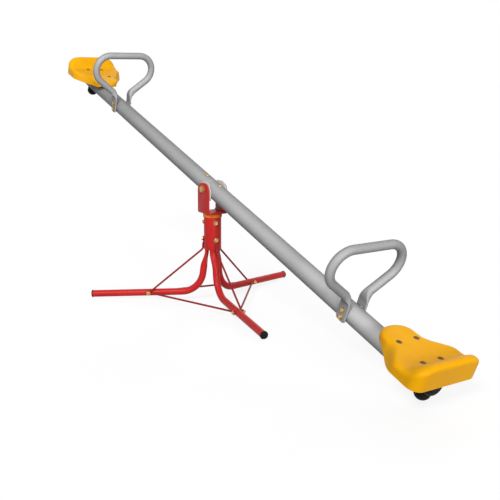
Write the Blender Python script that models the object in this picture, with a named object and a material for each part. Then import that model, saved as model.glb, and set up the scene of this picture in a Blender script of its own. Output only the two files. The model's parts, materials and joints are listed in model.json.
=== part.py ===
# Seesaw on a swivelling tripod column, metres, +Z up, standing on z = 0.
# The beam is drawn along its own x axis from the pivot, then tilted until one bumper meets the ground.
import bpy
import bmesh
from math import asin, atan2, cos, hypot, pi, radians, sin, sqrt, tan
from mathutils import Matrix, Vector

# Gap kept between pieces that touch
GAP = 0.0003

# Beam
PIVOT_HEIGHT = 0.335
BEAM_RADIUS = 0.024
BEAM_WALL = 0.002
BEAM_REACH = 0.920
COUPLER_REACH = 0.090
COUPLER_WALL = 0.0025
COUPLER_SCREW_AT = 0.036
COUPLER_SCREW_RADIUS = 0.003
END_CAP_FLANGE = 0.015
END_CAP_DOME = ((0.35, 1.0), (0.75, 0.86), (1.0, 0.55))
END_CAP_SPIGOT = 0.022
BUMPER_FROM_END = 0.016
BUMPER_RADIUS = 0.0185
BUMPER_DOME_DEPTH = 0.030

# Handles
HANDLE_FROM_END = 0.2695
HANDLE_LEAN = radians(3.0)
HANDLE_RADIUS = 0.011
GRIP_HEIGHT = 0.175
GRIP_HALF = 0.052
GRIP_CORNER_RADIUS = 0.048
HANDLE_SLOPE = radians(38.0)
HANDLE_FOOT_BEND = 0.030
HANDLE_FOOT_LEAD = 0.0055
FOOT_THICKNESS = 0.0044
FOOT_WIDTH = 0.033
FOOT_BOLT_UP = 0.012
FOOT_BOLT_DOWN = 0.008
FOOT_MARGIN = 0.009
HANDLE_BOLT_RADIUS = 0.003

# Seats, measured outwards from the nose: the rim is the lower outline, the edge the upper one
SEAT_FROM_END = 0.158
RIM_END = 0.192
RIM_HALVES = (0.046, 0.089)
RIM_FLARE = (0.030, 0.122)
RIM_ROUNDS = (0.060, 0.026)
EDGE_START = 0.005
EDGE_END = 0.195
EDGE_HALVES = (0.043, 0.088)
EDGE_FLARE = (0.062, 0.128)
EDGE_ROUNDS = (0.030, 0.020)
SEAT_TOP = 0.0465
SEAT_RIM = 0.023
SEAT_RIM_ARCH = 0.014
SEAT_EDGE_ROUND = 0.007
SEAT_WALL = 0.004
SEAT_LIP_RISE = 0.032
SEAT_LIP_START = 0.146
SEAT_LIP_CREST = 0.186
SEAT_LIP_FLAT_HALF = 0.048
SEAT_LIP_HALF = 0.088
SEAT_LIP_FALL = 0.75
SEAT_SPINE = (0.036, 0.128)
SEAT_DISH = 0.003
SEAT_BOLT_FROM_NOSE = 0.065
SEAT_BOLT_PITCH = 0.074
SEAT_BOLT_HALF = 0.0245
SEAT_BOLT_RADIUS = 0.003
SEAT_BOLT_HEAD = 0.0065
SEAT_SPOT_DEPTH = 0.0012
SEAT_SPOT_EDGE = 0.0010
BRACKET_PLATE = 0.004
BRACKET_SIDE = 0.0065
BRACKET_LEG_HALF = 0.012
BRACKET_LEG = 0.004

# Fork
PIVOT_BOLT_RADIUS = 0.005
PIVOT_BUSH_WALL = 0.003
SPACER_THICKNESS = 0.0024
SPACER_MARGIN = 0.0045
SPACER_DROP = 0.030
EAR_THICKNESS = 0.0045
EAR_HALF_WIDTH = 0.030
EAR_TOP = 0.017
EAR_CORNER = 0.023
FORK_DROP = 0.071
FORK_FLOOR = 0.005
FORK_BEND = 0.006
SPINDLE_RADIUS = 0.011
SPINDLE_NUT_HEIGHT = 0.012

# Column
BUSH_FLANGE_RADIUS = 0.0272
BUSH_FLANGE = 0.0105
BUSH_SKIN = 0.006
SLEEVE_RADIUS = 0.025
SLEEVE_WALL = 0.002
SLEEVE_LENGTH = 0.094
COLUMN_BOLT_TOP = 0.015
COLUMN_BOLT_PITCH = 0.049
COLUMN_BOLT_RADIUS = 0.003

# Legs
LEG_COUNT = 3
LEG_FIRST_ANGLE = radians(-129.7)
LEG_RADIUS = 0.010
LEG_WALL = 0.0015
LEG_REACH = 0.362
LEG_SLOPE = radians(3.65)
LEG_LEAN = radians(8.0)
LEG_LEAN_BEND = 0.060
LEG_BEND = 0.068
LEG_FLAT_THICKNESS = 0.0048
LEG_FLAT_WIDTH = 0.029
LEG_TOP_SET = 0.004
LEG_FLAT_BELOW = 0.008
LEG_ROUND_OVER = 0.050
LEG_BOLT_AT = 0.190
LEG_BOLT_RADIUS = 0.003
LEG_CAP_RADIUS = 0.0112
LEG_CAP_FLANGE = 0.003
LEG_CAP_SPIGOT = 0.014
LEG_CAP_FLAT = 0.0008

# Stays and tie rods
ROD_RADIUS = 0.0028
EYE_RADIUS = 0.0070
EYE_THICKNESS = 0.0024
EYE_TONGUE = 0.0090
EYE_NECK = 0.016
STAY_DOWN = 0.030

# Hexagon heads and nuts, as shares of the thread radius
HEAD_SHARE = 1.85
HEAD_HEIGHT_SHARE = 1.3
NUT_HEIGHT_SHARE = 1.6
BOLT_END_SHARE = 2.4
SPINDLE_NUT_SHARE = 1.7

# Shares that shape small details
HEAD_CROWN = 0.85
HEAD_CROWN_START = 0.75
BUTTON_CROWN = 0.5
PLUG_TAPER = 0.86
PLUG_LEAD = 0.7
BUMPER_NECK = 0.94
BUMPER_NECK_END = 0.9
BUMPER_TIP_FLAT = 0.4
SPINDLE_THREAD = 0.75
SPINDLE_TIP = 0.8
FLAT_PRESS = 1.2
EYE_TIP = 0.35
EYE_CUTS = (-1.0, -0.7, 0.0, 0.7)

# Number of flat sides on round pieces
TUBE_SIDES = 20
BAR_SIDES = 12
ROD_SIDES = 8
BOLT_SIDES = 12
DRILL_SIDES = 8
CAP_SIDES = 16
BUMPER_STEPS = 4
SHARP_ANGLE = radians(35.0)
MERGE_DISTANCE = 0.00005
ARC_STEP = radians(19.0)
SEAT_STATIONS = 16
SEAT_RINGS = (0.80, 0.45)

# Sizes worked out from the ones above
BUMPER_AT = BEAM_REACH - BUMPER_FROM_END
HANDLE_AT = BEAM_REACH - HANDLE_FROM_END
SEAT_NOSE_AT = BEAM_REACH - SEAT_FROM_END
SEAT_BOLT_AT = SEAT_NOSE_AT + SEAT_BOLT_FROM_NOSE
BUMPER_TIP = BUMPER_DOME_DEPTH + BUMPER_RADIUS
TILT = (asin((PIVOT_HEIGHT - BUMPER_RADIUS - GAP) / hypot(BUMPER_AT, BUMPER_DOME_DEPTH))
        - atan2(BUMPER_DOME_DEPTH, BUMPER_AT))
PIVOT_BUSH_BORE = PIVOT_BOLT_RADIUS + GAP
PIVOT_BUSH_RADIUS = PIVOT_BUSH_BORE + PIVOT_BUSH_WALL
COUPLER_RADIUS = BEAM_RADIUS - BEAM_WALL - GAP
SPACER_IN = BEAM_RADIUS + GAP
EAR_IN = SPACER_IN + SPACER_THICKNESS + GAP
EAR_OUT = EAR_IN + EAR_THICKNESS
FORK_BASE = PIVOT_HEIGHT - FORK_DROP
BUSH_TOP = FORK_BASE - GAP
SLEEVE_TOP = BUSH_TOP - BUSH_FLANGE - GAP
SLEEVE_BASE = SLEEVE_TOP - SLEEVE_LENGTH
SLEEVE_BORE = SLEEVE_RADIUS - SLEEVE_WALL
LEG_FLAT_CENTRE = SLEEVE_BORE - GAP - LEG_FLAT_THICKNESS / 2
BUSH_RADIUS = SPINDLE_RADIUS + GAP + BUSH_SKIN
BUSH_BASE = SLEEVE_BASE + SPINDLE_NUT_HEIGHT + 2 * GAP
BOLT_HIGH = SLEEVE_TOP - COLUMN_BOLT_TOP
BOLT_LOW = BOLT_HIGH - COLUMN_BOLT_PITCH
LEG_END_HEIGHT = LEG_CAP_RADIUS * cos(LEG_SLOPE) - LEG_CAP_FLAT
SEAT_FLOOR = SEAT_TOP - SEAT_WALL
BRACKET_TOP = SEAT_FLOOR - GAP
FOOT_CENTRE = BEAM_RADIUS + GAP + FOOT_THICKNESS / 2
STAY_AT = SLEEVE_RADIUS + GAP + EYE_THICKNESS / 2
EYE_ON_LEG = LEG_RADIUS + GAP + EYE_THICKNESS / 2
EYE_OUTSIDE = EYE_ON_LEG + EYE_THICKNESS + GAP
ROD_OFF_LEG = LEG_RADIUS + GAP + ROD_RADIUS
X_AXIS = Vector((1, 0, 0))
Y_AXIS = Vector((0, 1, 0))
Z_AXIS = Vector((0, 0, 1))


def clear_scene():
    for obj in list(bpy.data.objects):
        bpy.data.objects.remove(obj)


def make_material(name, colour, roughness, metallic=0.0):
    material = bpy.data.materials.new(name)
    material.use_nodes = True
    shader = material.node_tree.nodes["Principled BSDF"]
    shader.inputs["Base Color"].default_value = (*colour, 1.0)
    shader.inputs["Roughness"].default_value = roughness
    shader.inputs["Metallic"].default_value = metallic
    return material


def add_empty(name, location=(0, 0, 0), parent=None):
    empty = bpy.data.objects.new(name, None)
    empty.location = location
    empty.parent = parent
    bpy.context.collection.objects.link(empty)
    return empty


def add_object(name, mesh, material, parent, location=(0, 0, 0), rotation=None):
    obj = bpy.data.objects.new(name, mesh)
    if not mesh.materials:
        mesh.materials.append(material)
    obj.parent = parent
    obj.location = location
    if rotation is not None:
        obj.rotation_euler = rotation.to_euler()
    bpy.context.collection.objects.link(obj)
    return obj


def finish_mesh(bm, name):
    bmesh.ops.recalc_face_normals(bm, faces=bm.faces)
    mesh = bpy.data.meshes.new(name)
    bm.to_mesh(mesh)
    bm.free()
    mesh.shade_smooth()
    mesh.set_sharp_from_angle(angle=SHARP_ANGLE)
    return mesh


def loft(rings, name, loop=False):
    # Skin over rings of equal point count; loop joins the last ring back to the first
    bm = bmesh.new()
    rows = [[bm.verts.new(point) for point in ring] for ring in rings]
    count = len(rows[0])
    pairs = list(zip(rows, rows[1:]))
    if loop:
        pairs.append((rows[-1], rows[0]))
    for lower, upper in pairs:
        for i in range(count):
            j = (i + 1) % count
            bm.faces.new((lower[i], lower[j], upper[j], upper[i]))
    if not loop:
        bm.faces.new(rows[0])
        bm.faces.new(rows[-1])
    return finish_mesh(bm, name)


def circle(radius, along, sides=TUBE_SIDES):
    # Ring round the x axis
    turns = [2 * pi * (i + 0.5) / sides for i in range(sides)]
    return [Vector((along, radius * cos(a), radius * sin(a))) for a in turns]


def turned(profile, name, sides=TUBE_SIDES, loop=False):
    # Solid of revolution about the x axis from (along, radius) pairs
    return loft([circle(radius, along, sides) for along, radius in profile], name, loop)


def extruded(outline, depth_axis, start, end, name):
    # Prism from an outline of points, pushed between two places along one axis
    bm = bmesh.new()
    face = bm.faces.new([bm.verts.new(point + depth_axis * start) for point in outline])
    grown = bmesh.ops.extrude_face_region(bm, geom=[face])
    moved = [item for item in grown["geom"] if isinstance(item, bmesh.types.BMVert)]
    bmesh.ops.translate(bm, verts=moved, vec=depth_axis * (end - start))
    return finish_mesh(bm, name)


def rounded(corners, radii, steps=5):
    # Outline in (u, v) with each corner replaced by an arc of its radius
    points = []
    for i, (corner, radius) in enumerate(zip(corners, radii)):
        here = Vector(corner)
        before = (Vector(corners[i - 1]) - here).normalized()
        after = (Vector(corners[(i + 1) % len(corners)]) - here).normalized()
        if radius == 0:
            points.append(here)
            continue
        half = before.angle(after) / 2
        centre = here + (before + after).normalized() * (radius / sin(half))
        first = here + before * (radius * cos(half) / sin(half)) - centre
        last = here + after * (radius * cos(half) / sin(half)) - centre
        sweep = first.angle_signed(last)
        for k in range(steps + 1):
            points.append(centre + Matrix.Rotation(-sweep * k / steps, 2) @ first)
    return points


def axis_turn(direction):
    # Rotation that takes +X to a direction
    return X_AXIS.rotation_difference(direction).to_matrix()


def carve(obj, cutters, operation="DIFFERENCE"):
    # Cut or weld shapes for good: each one is (mesh, matrix in the object's own frame)
    shapes = []
    for mesh, matrix in cutters:
        cutter = bpy.data.objects.new("cutter", mesh)
        cutter.hide_render = True
        cutter.display_type = "WIRE"
        bpy.context.collection.objects.link(cutter)
        cutter.parent = obj
        cutter.matrix_local = matrix
        modifier = obj.modifiers.new("cut", "BOOLEAN")
        modifier.object = cutter
        modifier.operation = operation
        modifier.solver = "EXACT"
        shapes.append(cutter)
    bpy.context.view_layer.update()
    solid = bpy.data.meshes.new_from_object(obj.evaluated_get(bpy.context.evaluated_depsgraph_get()))
    obj.modifiers.clear()
    obj.data = solid
    solid.set_sharp_from_angle(angle=SHARP_ANGLE)
    for cutter in shapes:
        bpy.data.objects.remove(cutter)
    return obj


def drill(radius, length, centre, direction, sides=DRILL_SIDES):
    # Round cutter through a point, its flats at the radius
    corner = radius / cos(pi / sides)
    mesh = turned([(-length / 2, corner), (length / 2, corner)], "drill", sides)
    return mesh, Matrix.Translation(centre) @ axis_turn(direction).to_4x4()


def hexagon(radius, along):
    # Hexagon with a point at each corner and in the middle of each side
    points = []
    for k in range(BOLT_SIDES):
        reach = radius if k % 2 == 0 else radius * cos(pi / 6)
        turn = 2 * pi * k / BOLT_SIDES
        points.append(Vector((along, reach * cos(turn), reach * sin(turn))))
    return points


def shaft(radius, along):
    turns = [2 * pi * k / BOLT_SIDES for k in range(BOLT_SIDES)]
    return [Vector((along, radius * cos(a), radius * sin(a))) for a in turns]


def hex_bolt(shank, length, name):
    # Bolt along +x: head below x = 0, shank above
    head = shank * HEAD_SHARE
    height = shank * HEAD_HEIGHT_SHARE
    rings = [shaft(head * HEAD_CROWN, -height), hexagon(head, -height * HEAD_CROWN_START), hexagon(head, 0)]
    return loft(rings + [shaft(shank, 0), shaft(shank, length)], name)


def hex_nut(thread, height, name, share=HEAD_SHARE):
    # Nut from x = 0 upwards with a through bore
    outer = thread * share
    bore = (thread + GAP) / cos(pi / BOLT_SIDES)
    rings = [hexagon(outer, 0), hexagon(outer, height), shaft(bore, height), shaft(bore, 0)]
    return loft(rings, name, loop=True)


def button_bolt(shank, head, length, name):
    # Round headed screw along +x with its dome below x = 0
    height = shank * HEAD_HEIGHT_SHARE
    dome = [(-height, head * BUTTON_CROWN), (-height * BUTTON_CROWN, head), (0, head)]
    return turned(dome + [(0, shank), (length, shank)], name, BOLT_SIDES)


def ease(share):
    share = min(max(share, 0.0), 1.0)
    return share * share * (3 - 2 * share)


class Walk:
    # Path in a plane made of straight runs and arcs; keeps (u, v, heading, distance)

    def __init__(self, u, v, heading):
        self.marks = [(u, v, heading, 0.0)]

    def straight(self, length, cuts=1):
        for _ in range(cuts):
            u, v, heading, gone = self.marks[-1]
            step = length / cuts
            self.marks.append((u + step * cos(heading), v + step * sin(heading), heading, gone + step))
        return self

    def arc(self, radius, turn, step=ARC_STEP):
        count = max(2, round(abs(turn) / step))
        for _ in range(count):
            u, v, heading, gone = self.marks[-1]
            bend = turn / count
            chord = 2 * radius * sin(abs(bend) / 2)
            middle = heading + bend / 2
            self.marks.append((u + chord * cos(middle), v + chord * sin(middle), heading + bend,
                               gone + radius * abs(bend)))
        return self

    @property
    def end(self):
        return self.marks[-1]


def flat_section(round_radius, thickness, width, share, sides=BAR_SIDES):
    # Tube section (across, along the width) pressed flat by a share from 0 to 1
    press = 1 + FLAT_PRESS * share
    deep = round_radius + (thickness / 2 - round_radius) * share
    wide = round_radius + (width / 2 - round_radius) * share
    section = []
    for k in range(sides):
        turn = 2 * pi * k / sides
        across = max(-1.0, min(1.0, cos(turn) * press))
        section.append((deep * across, wide * sin(turn)))
    return section


# Materials
def make_materials():
    return {
        "silver": make_material("silver_paint", (0.42, 0.42, 0.43), 0.42, 0.35),
        "red": make_material("red_paint", (0.52, 0.035, 0.035), 0.38),
        "yellow": make_material("yellow_plastic", (0.85, 0.40, 0.012), 0.45),
        "black": make_material("black_rubber", (0.012, 0.012, 0.013), 0.65),
        "zinc": make_material("yellow_zinc", (0.58, 0.36, 0.13), 0.35, 0.8),
        "orange": make_material("orange_bush", (0.80, 0.20, 0.03), 0.5),
        "pale": make_material("pale_nylon", (0.72, 0.72, 0.70), 0.55),
        "steel": make_material("bare_steel", (0.45, 0.45, 0.46), 0.35, 0.9),
    }


# Legs, drawn in the plane (outwards, up) of each leg
def leg_walk():
    top = SLEEVE_TOP - LEG_TOP_SET
    flat_end = SLEEVE_BASE - LEG_FLAT_BELOW
    bend_turn = pi / 2 - LEG_LEAN - LEG_SLOPE
    down = Walk(LEG_FLAT_CENTRE, top, -pi / 2).straight(top - flat_end)
    down.arc(LEG_LEAN_BEND, LEG_LEAN, step=LEG_LEAN / 2)
    u, v = down.end[:2]
    # the lean runs on until the bend brings the tube to its place over the ground
    bend_out = LEG_BEND * (cos(LEG_LEAN) - sin(LEG_SLOPE))
    bend_drop = LEG_BEND * (cos(LEG_SLOPE) - sin(LEG_LEAN))
    rise = (LEG_REACH - u - bend_out) * tan(LEG_SLOPE)
    lean_drop = (v - bend_drop - LEG_END_HEIGHT - rise) / (1 - tan(LEG_LEAN) * tan(LEG_SLOPE))
    down.straight(lean_drop / cos(LEG_LEAN), cuts=3)
    down.arc(LEG_BEND, bend_turn)
    down.straight((LEG_REACH - down.end[0]) / cos(LEG_SLOPE))
    return down


def leg_rings(walk, radius, start=0):
    # Sections from flat and curved like the sleeve at the top to round below
    flat_run = SLEEVE_TOP - LEG_TOP_SET - SLEEVE_BASE + LEG_FLAT_BELOW
    rings = []
    for u, v, heading, gone in walk.marks[start:]:
        share = 1 - ease((gone - flat_run) / LEG_ROUND_OVER)
        normal = Vector((-sin(heading), 0, cos(heading)))
        ring = []
        for across, wide in flat_section(radius, LEG_FLAT_THICKNESS, LEG_FLAT_WIDTH, share):
            sag = share * (LEG_FLAT_CENTRE - sqrt(max(LEG_FLAT_CENTRE ** 2 - wide ** 2, 0.0)))
            ring.append(Vector((u, wide, v)) + normal * (across - sag))
        rings.append(ring)
    return rings


def leg_frame(index):
    return LEG_FIRST_ANGLE + index * 2 * pi / LEG_COUNT


def leg_height(outwards):
    return LEG_END_HEIGHT + (LEG_REACH - outwards) * tan(LEG_SLOPE)


def build_legs(base, paint):
    walk = leg_walk()
    outer = leg_rings(walk, LEG_RADIUS)
    round_from = next(i for i, mark in enumerate(walk.marks)
                      if mark[3] > SLEEVE_LENGTH + LEG_FLAT_BELOW + LEG_ROUND_OVER)
    inner = leg_rings(walk, LEG_RADIUS - LEG_WALL, round_from)
    mesh = loft(outer + inner[::-1], "leg")
    for index, name in enumerate(("leg_left", "leg_front", "leg_right")):
        turn = Matrix.Rotation(leg_frame(index), 3, "Z")
        leg = add_object(name, mesh.copy(), paint["red"], base, rotation=turn)
        bolt = Vector((LEG_BOLT_AT, 0, leg_height(LEG_BOLT_AT)))
        holes = [drill(LEG_BOLT_RADIUS + GAP, 4 * LEG_RADIUS, bolt, Y_AXIS)]
        for height in (BOLT_HIGH, BOLT_LOW):
            spot = Vector((LEG_FLAT_CENTRE, 0, height))
            holes.append(drill(COLUMN_BOLT_RADIUS + GAP, 4 * LEG_FLAT_THICKNESS, spot, X_AXIS))
        carve(leg, holes)


def build_leg_caps(base, paint):
    bore = LEG_RADIUS - LEG_WALL
    profile = [(-LEG_CAP_SPIGOT, bore * PLUG_TAPER), (-LEG_CAP_SPIGOT * PLUG_LEAD, bore - GAP),
               (GAP, bore - GAP), (GAP, LEG_CAP_RADIUS), (LEG_CAP_FLANGE * PLUG_LEAD, LEG_CAP_RADIUS),
               (LEG_CAP_FLANGE, LEG_CAP_RADIUS * PLUG_TAPER)]
    mesh = turned(profile, "leg_cap", CAP_SIDES)
    tip = Vector((LEG_REACH, 0, LEG_END_HEIGHT))
    along = Vector((cos(LEG_SLOPE), 0, -sin(LEG_SLOPE)))
    side = 6 * LEG_CAP_RADIUS
    ground = extruded([Vector((-side, -side, 0)), Vector((side, -side, 0)), Vector((side, side, 0)),
                       Vector((-side, side, 0))], Z_AXIS, -side, 0, "ground")
    for index, name in enumerate(("leg_cap_left", "leg_cap_front", "leg_cap_right")):
        turn = Matrix.Rotation(leg_frame(index), 3, "Z")
        place = turn @ axis_turn(along)
        cap = add_object(name, mesh.copy(), paint["black"], base, turn @ tip, place)
        bpy.context.view_layer.update()
        under = Matrix.Translation((turn @ tip).xy.to_3d())
        carve(cap, [(ground.copy(), cap.matrix_local.inverted() @ under)])


def rod_rings(stations, width_axis):
    # Rings of a rod: each station is (point, direction, half along the width axis, half across it)
    rings = []
    for point, direction, wide, deep in stations:
        direction = direction.normalized()
        first = (width_axis - direction * width_axis.dot(direction)).normalized()
        second = direction.cross(first)
        ring = []
        for k in range(ROD_SIDES):
            turn = 2 * pi * (k + 0.5) / ROD_SIDES
            ring.append(point + first * (wide * cos(turn)) + second * (deep * sin(turn)))
        rings.append(ring)
    return rings


def eye_stations(centre, direction, wide_first):
    # Flat round eye followed by the neck where the round rod starts
    thin = EYE_THICKNESS / 2 / cos(pi / ROD_SIDES)
    stations = []
    for share in EYE_CUTS:
        wide = EYE_RADIUS * max(sqrt(1 - share * share), EYE_TIP) / cos(pi / ROD_SIDES)
        size = (wide, thin) if wide_first else (thin, wide)
        stations.append((centre + direction * (EYE_RADIUS * share), direction, *size))
    size = (ROD_RADIUS, thin) if wide_first else (thin, ROD_RADIUS)
    stations.append((centre + direction * EYE_TONGUE, direction, *size))
    return stations


def build_tie_rods(base, paint):
    for index, name in enumerate(("tie_rod_left", "tie_rod_front", "tie_rod_right")):
        here = Matrix.Rotation(leg_frame(index), 3, "Z")
        there = Matrix.Rotation(leg_frame(index + 1), 3, "Z")
        height = leg_height(LEG_BOLT_AT)
        start = here @ Vector((LEG_BOLT_AT, EYE_OUTSIDE, height))
        finish = there @ Vector((LEG_BOLT_AT, -EYE_ON_LEG, height))
        inwards = here @ Vector((-1, 0, 0))
        outwards = there @ Vector((1, 0, 0))
        neck = here @ Vector((LEG_BOLT_AT - EYE_NECK, EYE_OUTSIDE, height))
        tail = there @ Vector((LEG_BOLT_AT - EYE_NECK, -ROD_OFF_LEG, height))
        run = (tail - neck).normalized()
        stations = eye_stations(start, inwards, True)
        stations.append((neck, inwards + run, ROD_RADIUS, ROD_RADIUS))
        stations.append((tail, run + outwards, ROD_RADIUS, ROD_RADIUS))
        ending = eye_stations(finish, -outwards, True)[::-1]
        stations += [(point, -way, wide, deep) for point, way, wide, deep in ending]
        rod = add_object(name, loft(rod_rings(stations, Z_AXIS), name), paint["red"], base)
        carve(rod, [drill(LEG_BOLT_RADIUS + GAP, 4 * EYE_THICKNESS, start, here @ Y_AXIS),
                    drill(LEG_BOLT_RADIUS + GAP, 4 * EYE_THICKNESS, finish, there @ Y_AXIS)])


def build_stays(base, paint):
    top = Vector((STAY_AT, 0, BOLT_LOW))
    bottom = Vector((LEG_BOLT_AT, EYE_ON_LEG, leg_height(LEG_BOLT_AT)))
    down = -Z_AXIS
    neck = Vector((SLEEVE_RADIUS + GAP + ROD_RADIUS, 0, BOLT_LOW - STAY_DOWN))
    reach = bottom - neck
    arrive = Vector((reach.x, 0, reach.z)).normalized()
    tail = bottom - arrive * EYE_NECK
    run = (tail - neck).normalized()
    stations = eye_stations(top, down, True)
    stations.append((neck + Z_AXIS * (STAY_DOWN - EYE_NECK), down, ROD_RADIUS, ROD_RADIUS))
    stations.append((neck, down + run, ROD_RADIUS, ROD_RADIUS))
    stations.append((tail, run + arrive, ROD_RADIUS, ROD_RADIUS))
    ending = eye_stations(bottom, -arrive, False)[::-1]
    stations += [(point, -way, wide, deep) for point, way, wide, deep in ending]
    mesh = loft(rod_rings(stations, Y_AXIS), "stay")
    for index, name in enumerate(("stay_left", "stay_front", "stay_right")):
        turn = Matrix.Rotation(leg_frame(index), 3, "Z")
        stay = add_object(name, mesh.copy(), paint["red"], base, rotation=turn)
        carve(stay, [drill(COLUMN_BOLT_RADIUS + GAP, 4 * EYE_THICKNESS, top, X_AXIS),
                     drill(LEG_BOLT_RADIUS + GAP, 4 * EYE_THICKNESS, bottom, Y_AXIS)])


def build_leg_bolts(base, paint):
    head_at = -(EYE_ON_LEG + EYE_THICKNESS / 2 + GAP)
    nut_at = EYE_OUTSIDE + EYE_THICKNESS / 2 + GAP
    nut_height = LEG_BOLT_RADIUS * NUT_HEIGHT_SHARE
    bolt = hex_bolt(LEG_BOLT_RADIUS, nut_at + LEG_BOLT_RADIUS * BOLT_END_SHARE - head_at, "leg_bolt")
    nut = hex_nut(LEG_BOLT_RADIUS, nut_height, "leg_nut")
    across = axis_turn(Y_AXIS)
    for index, side in enumerate(("left", "front", "right")):
        turn = Matrix.Rotation(leg_frame(index), 3, "Z")
        height = leg_height(LEG_BOLT_AT)
        head = turn @ Vector((LEG_BOLT_AT, head_at, height))
        seat = turn @ Vector((LEG_BOLT_AT, nut_at, height))
        add_object(f"leg_bolt_{side}", bolt, paint["zinc"], base, head, turn @ across)
        add_object(f"leg_nut_{side}", nut, paint["zinc"], base, seat, turn @ across)


def build_column(base, paint):
    tube = [(SLEEVE_BASE, SLEEVE_RADIUS), (SLEEVE_TOP, SLEEVE_RADIUS), (SLEEVE_TOP, SLEEVE_BORE),
            (SLEEVE_BASE, SLEEVE_BORE)]
    upright = axis_turn(Z_AXIS)
    mesh = turned(tube, "sleeve", loop=True)
    sleeve = add_object("column_sleeve", mesh, paint["red"], base, rotation=upright)
    holes = []
    for index in range(LEG_COUNT):
        out = Matrix.Rotation(leg_frame(index), 3, "Z") @ X_AXIS
        for height in (BOLT_HIGH, BOLT_LOW):
            centre = upright.inverted() @ (out * SLEEVE_RADIUS + Z_AXIS * height)
            way = upright.inverted() @ out
            holes.append(drill(COLUMN_BOLT_RADIUS + GAP, 6 * SLEEVE_WALL, centre, way))
    carve(sleeve, holes)

    bore = SPINDLE_RADIUS + GAP
    flange = SLEEVE_TOP + GAP
    bush = [(BUSH_BASE, BUSH_RADIUS), (flange, BUSH_RADIUS), (flange, BUSH_FLANGE_RADIUS),
            (BUSH_TOP, BUSH_FLANGE_RADIUS), (BUSH_TOP, bore), (BUSH_BASE, bore)]
    add_object("swivel_bush", turned(bush, "bush", loop=True), paint["orange"], base, rotation=upright)

    inwards = axis_turn(-X_AXIS)
    tip = LEG_FLAT_CENTRE - LEG_FLAT_THICKNESS / 2
    for index, side in enumerate(("left", "front", "right")):
        turn = Matrix.Rotation(leg_frame(index), 3, "Z")
        rows = (("upper", BOLT_HIGH, 0.0), ("lower", BOLT_LOW, EYE_THICKNESS + GAP))
        for level, height, under in rows:
            head_at = SLEEVE_RADIUS + GAP + under
            bolt = hex_bolt(COLUMN_BOLT_RADIUS, head_at - tip, "column_bolt")
            place = turn @ Vector((head_at, 0, height))
            add_object(f"column_bolt_{side}_{level}", bolt, paint["zinc"], base, place, turn @ inwards)


# Fork, drawn about the column axis at its real height
def ear_outline(half_width, top, corner, bottom):
    corners = [(-half_width, bottom), (half_width, bottom), (half_width, top), (-half_width, top)]
    outline = rounded(corners, (0, 0, corner, corner))
    return [Vector((u, 0, v + PIVOT_HEIGHT)) for u, v in outline]


def build_fork(swivel, paint):
    ears = ear_outline(EAR_HALF_WIDTH, EAR_TOP, EAR_CORNER, -FORK_DROP)
    block = extruded(ears, Y_AXIS, -EAR_OUT, EAR_OUT, "fork")
    fork = add_object("fork_bracket", block, paint["red"], swivel)
    floor = FORK_BASE + FORK_FLOOR
    reach = 2 * EAR_HALF_WIDTH
    sky = PIVOT_HEIGHT + EAR_TOP + reach
    inside = rounded([(-EAR_IN, floor), (EAR_IN, floor), (EAR_IN, sky), (-EAR_IN, sky)],
                     (FORK_BEND, FORK_BEND, 0, 0), 3)
    mouth = extruded([Vector((0, u, v)) for u, v in inside], X_AXIS, -reach, reach, "mouth")
    pivot = Vector((0, 0, PIVOT_HEIGHT))
    carve(fork, [(mouth, Matrix()), drill(PIVOT_BOLT_RADIUS + GAP, 4 * EAR_OUT, pivot, Y_AXIS)])

    plate = ear_outline(EAR_HALF_WIDTH + SPACER_MARGIN, EAR_TOP + SPACER_MARGIN,
                        EAR_CORNER + SPACER_MARGIN, -SPACER_DROP)
    for name, start, end in (("pivot_spacer_left", -SPACER_IN - SPACER_THICKNESS, -SPACER_IN),
                             ("pivot_spacer_right", SPACER_IN, SPACER_IN + SPACER_THICKNESS)):
        spacer = add_object(name, extruded(plate, Y_AXIS, start, end, name), paint["pale"], swivel)
        carve(spacer, [drill(PIVOT_BOLT_RADIUS + GAP, 4 * EAR_OUT, pivot, Y_AXIS)])

    thread = SPINDLE_RADIUS * SPINDLE_THREAD
    nut_top = BUSH_BASE - GAP
    nut_base = nut_top - SPINDLE_NUT_HEIGHT
    spindle = [(nut_base, thread * SPINDLE_TIP), (nut_base + thread * (1 - SPINDLE_TIP), thread),
               (BUSH_BASE, thread), (BUSH_BASE, SPINDLE_RADIUS), (FORK_BASE + FORK_FLOOR / 2, SPINDLE_RADIUS)]
    upright = axis_turn(Z_AXIS)
    carve(fork, [(turned(spindle, "spindle"), upright.to_4x4())], "UNION")
    nut = hex_nut(thread, SPINDLE_NUT_HEIGHT, "spindle_nut", SPINDLE_NUT_SHARE)
    add_object("spindle_nut", nut, paint["zinc"], swivel, (0, 0, nut_base), upright)

    across = axis_turn(Y_AXIS)
    nut_height = PIVOT_BOLT_RADIUS * NUT_HEIGHT_SHARE
    bolt = hex_bolt(PIVOT_BOLT_RADIUS, 2 * (EAR_OUT + GAP) + PIVOT_BOLT_RADIUS * BOLT_END_SHARE, "pivot_bolt")
    add_object("pivot_bolt", bolt, paint["zinc"], swivel, (0, -EAR_OUT - GAP, PIVOT_HEIGHT), across)
    nut = hex_nut(PIVOT_BOLT_RADIUS, nut_height, "pivot_nut")
    add_object("pivot_nut", nut, paint["zinc"], swivel, (0, EAR_OUT + GAP, PIVOT_HEIGHT), across)


# Beam, drawn along x about the pivot; each end is the other one turned half round
ENDS = (("near", 1), ("far", -1))


def end_turn(sign):
    return Matrix.Rotation(0 if sign > 0 else pi, 3, "Z")


def handle_bolt_spots():
    # Bolt places from the near end, leaning with the handle
    rises = (FOOT_BOLT_UP, -FOOT_BOLT_DOWN)
    return [(HANDLE_AT + rise * sin(HANDLE_LEAN), rise * cos(HANDLE_LEAN)) for rise in rises]


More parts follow.
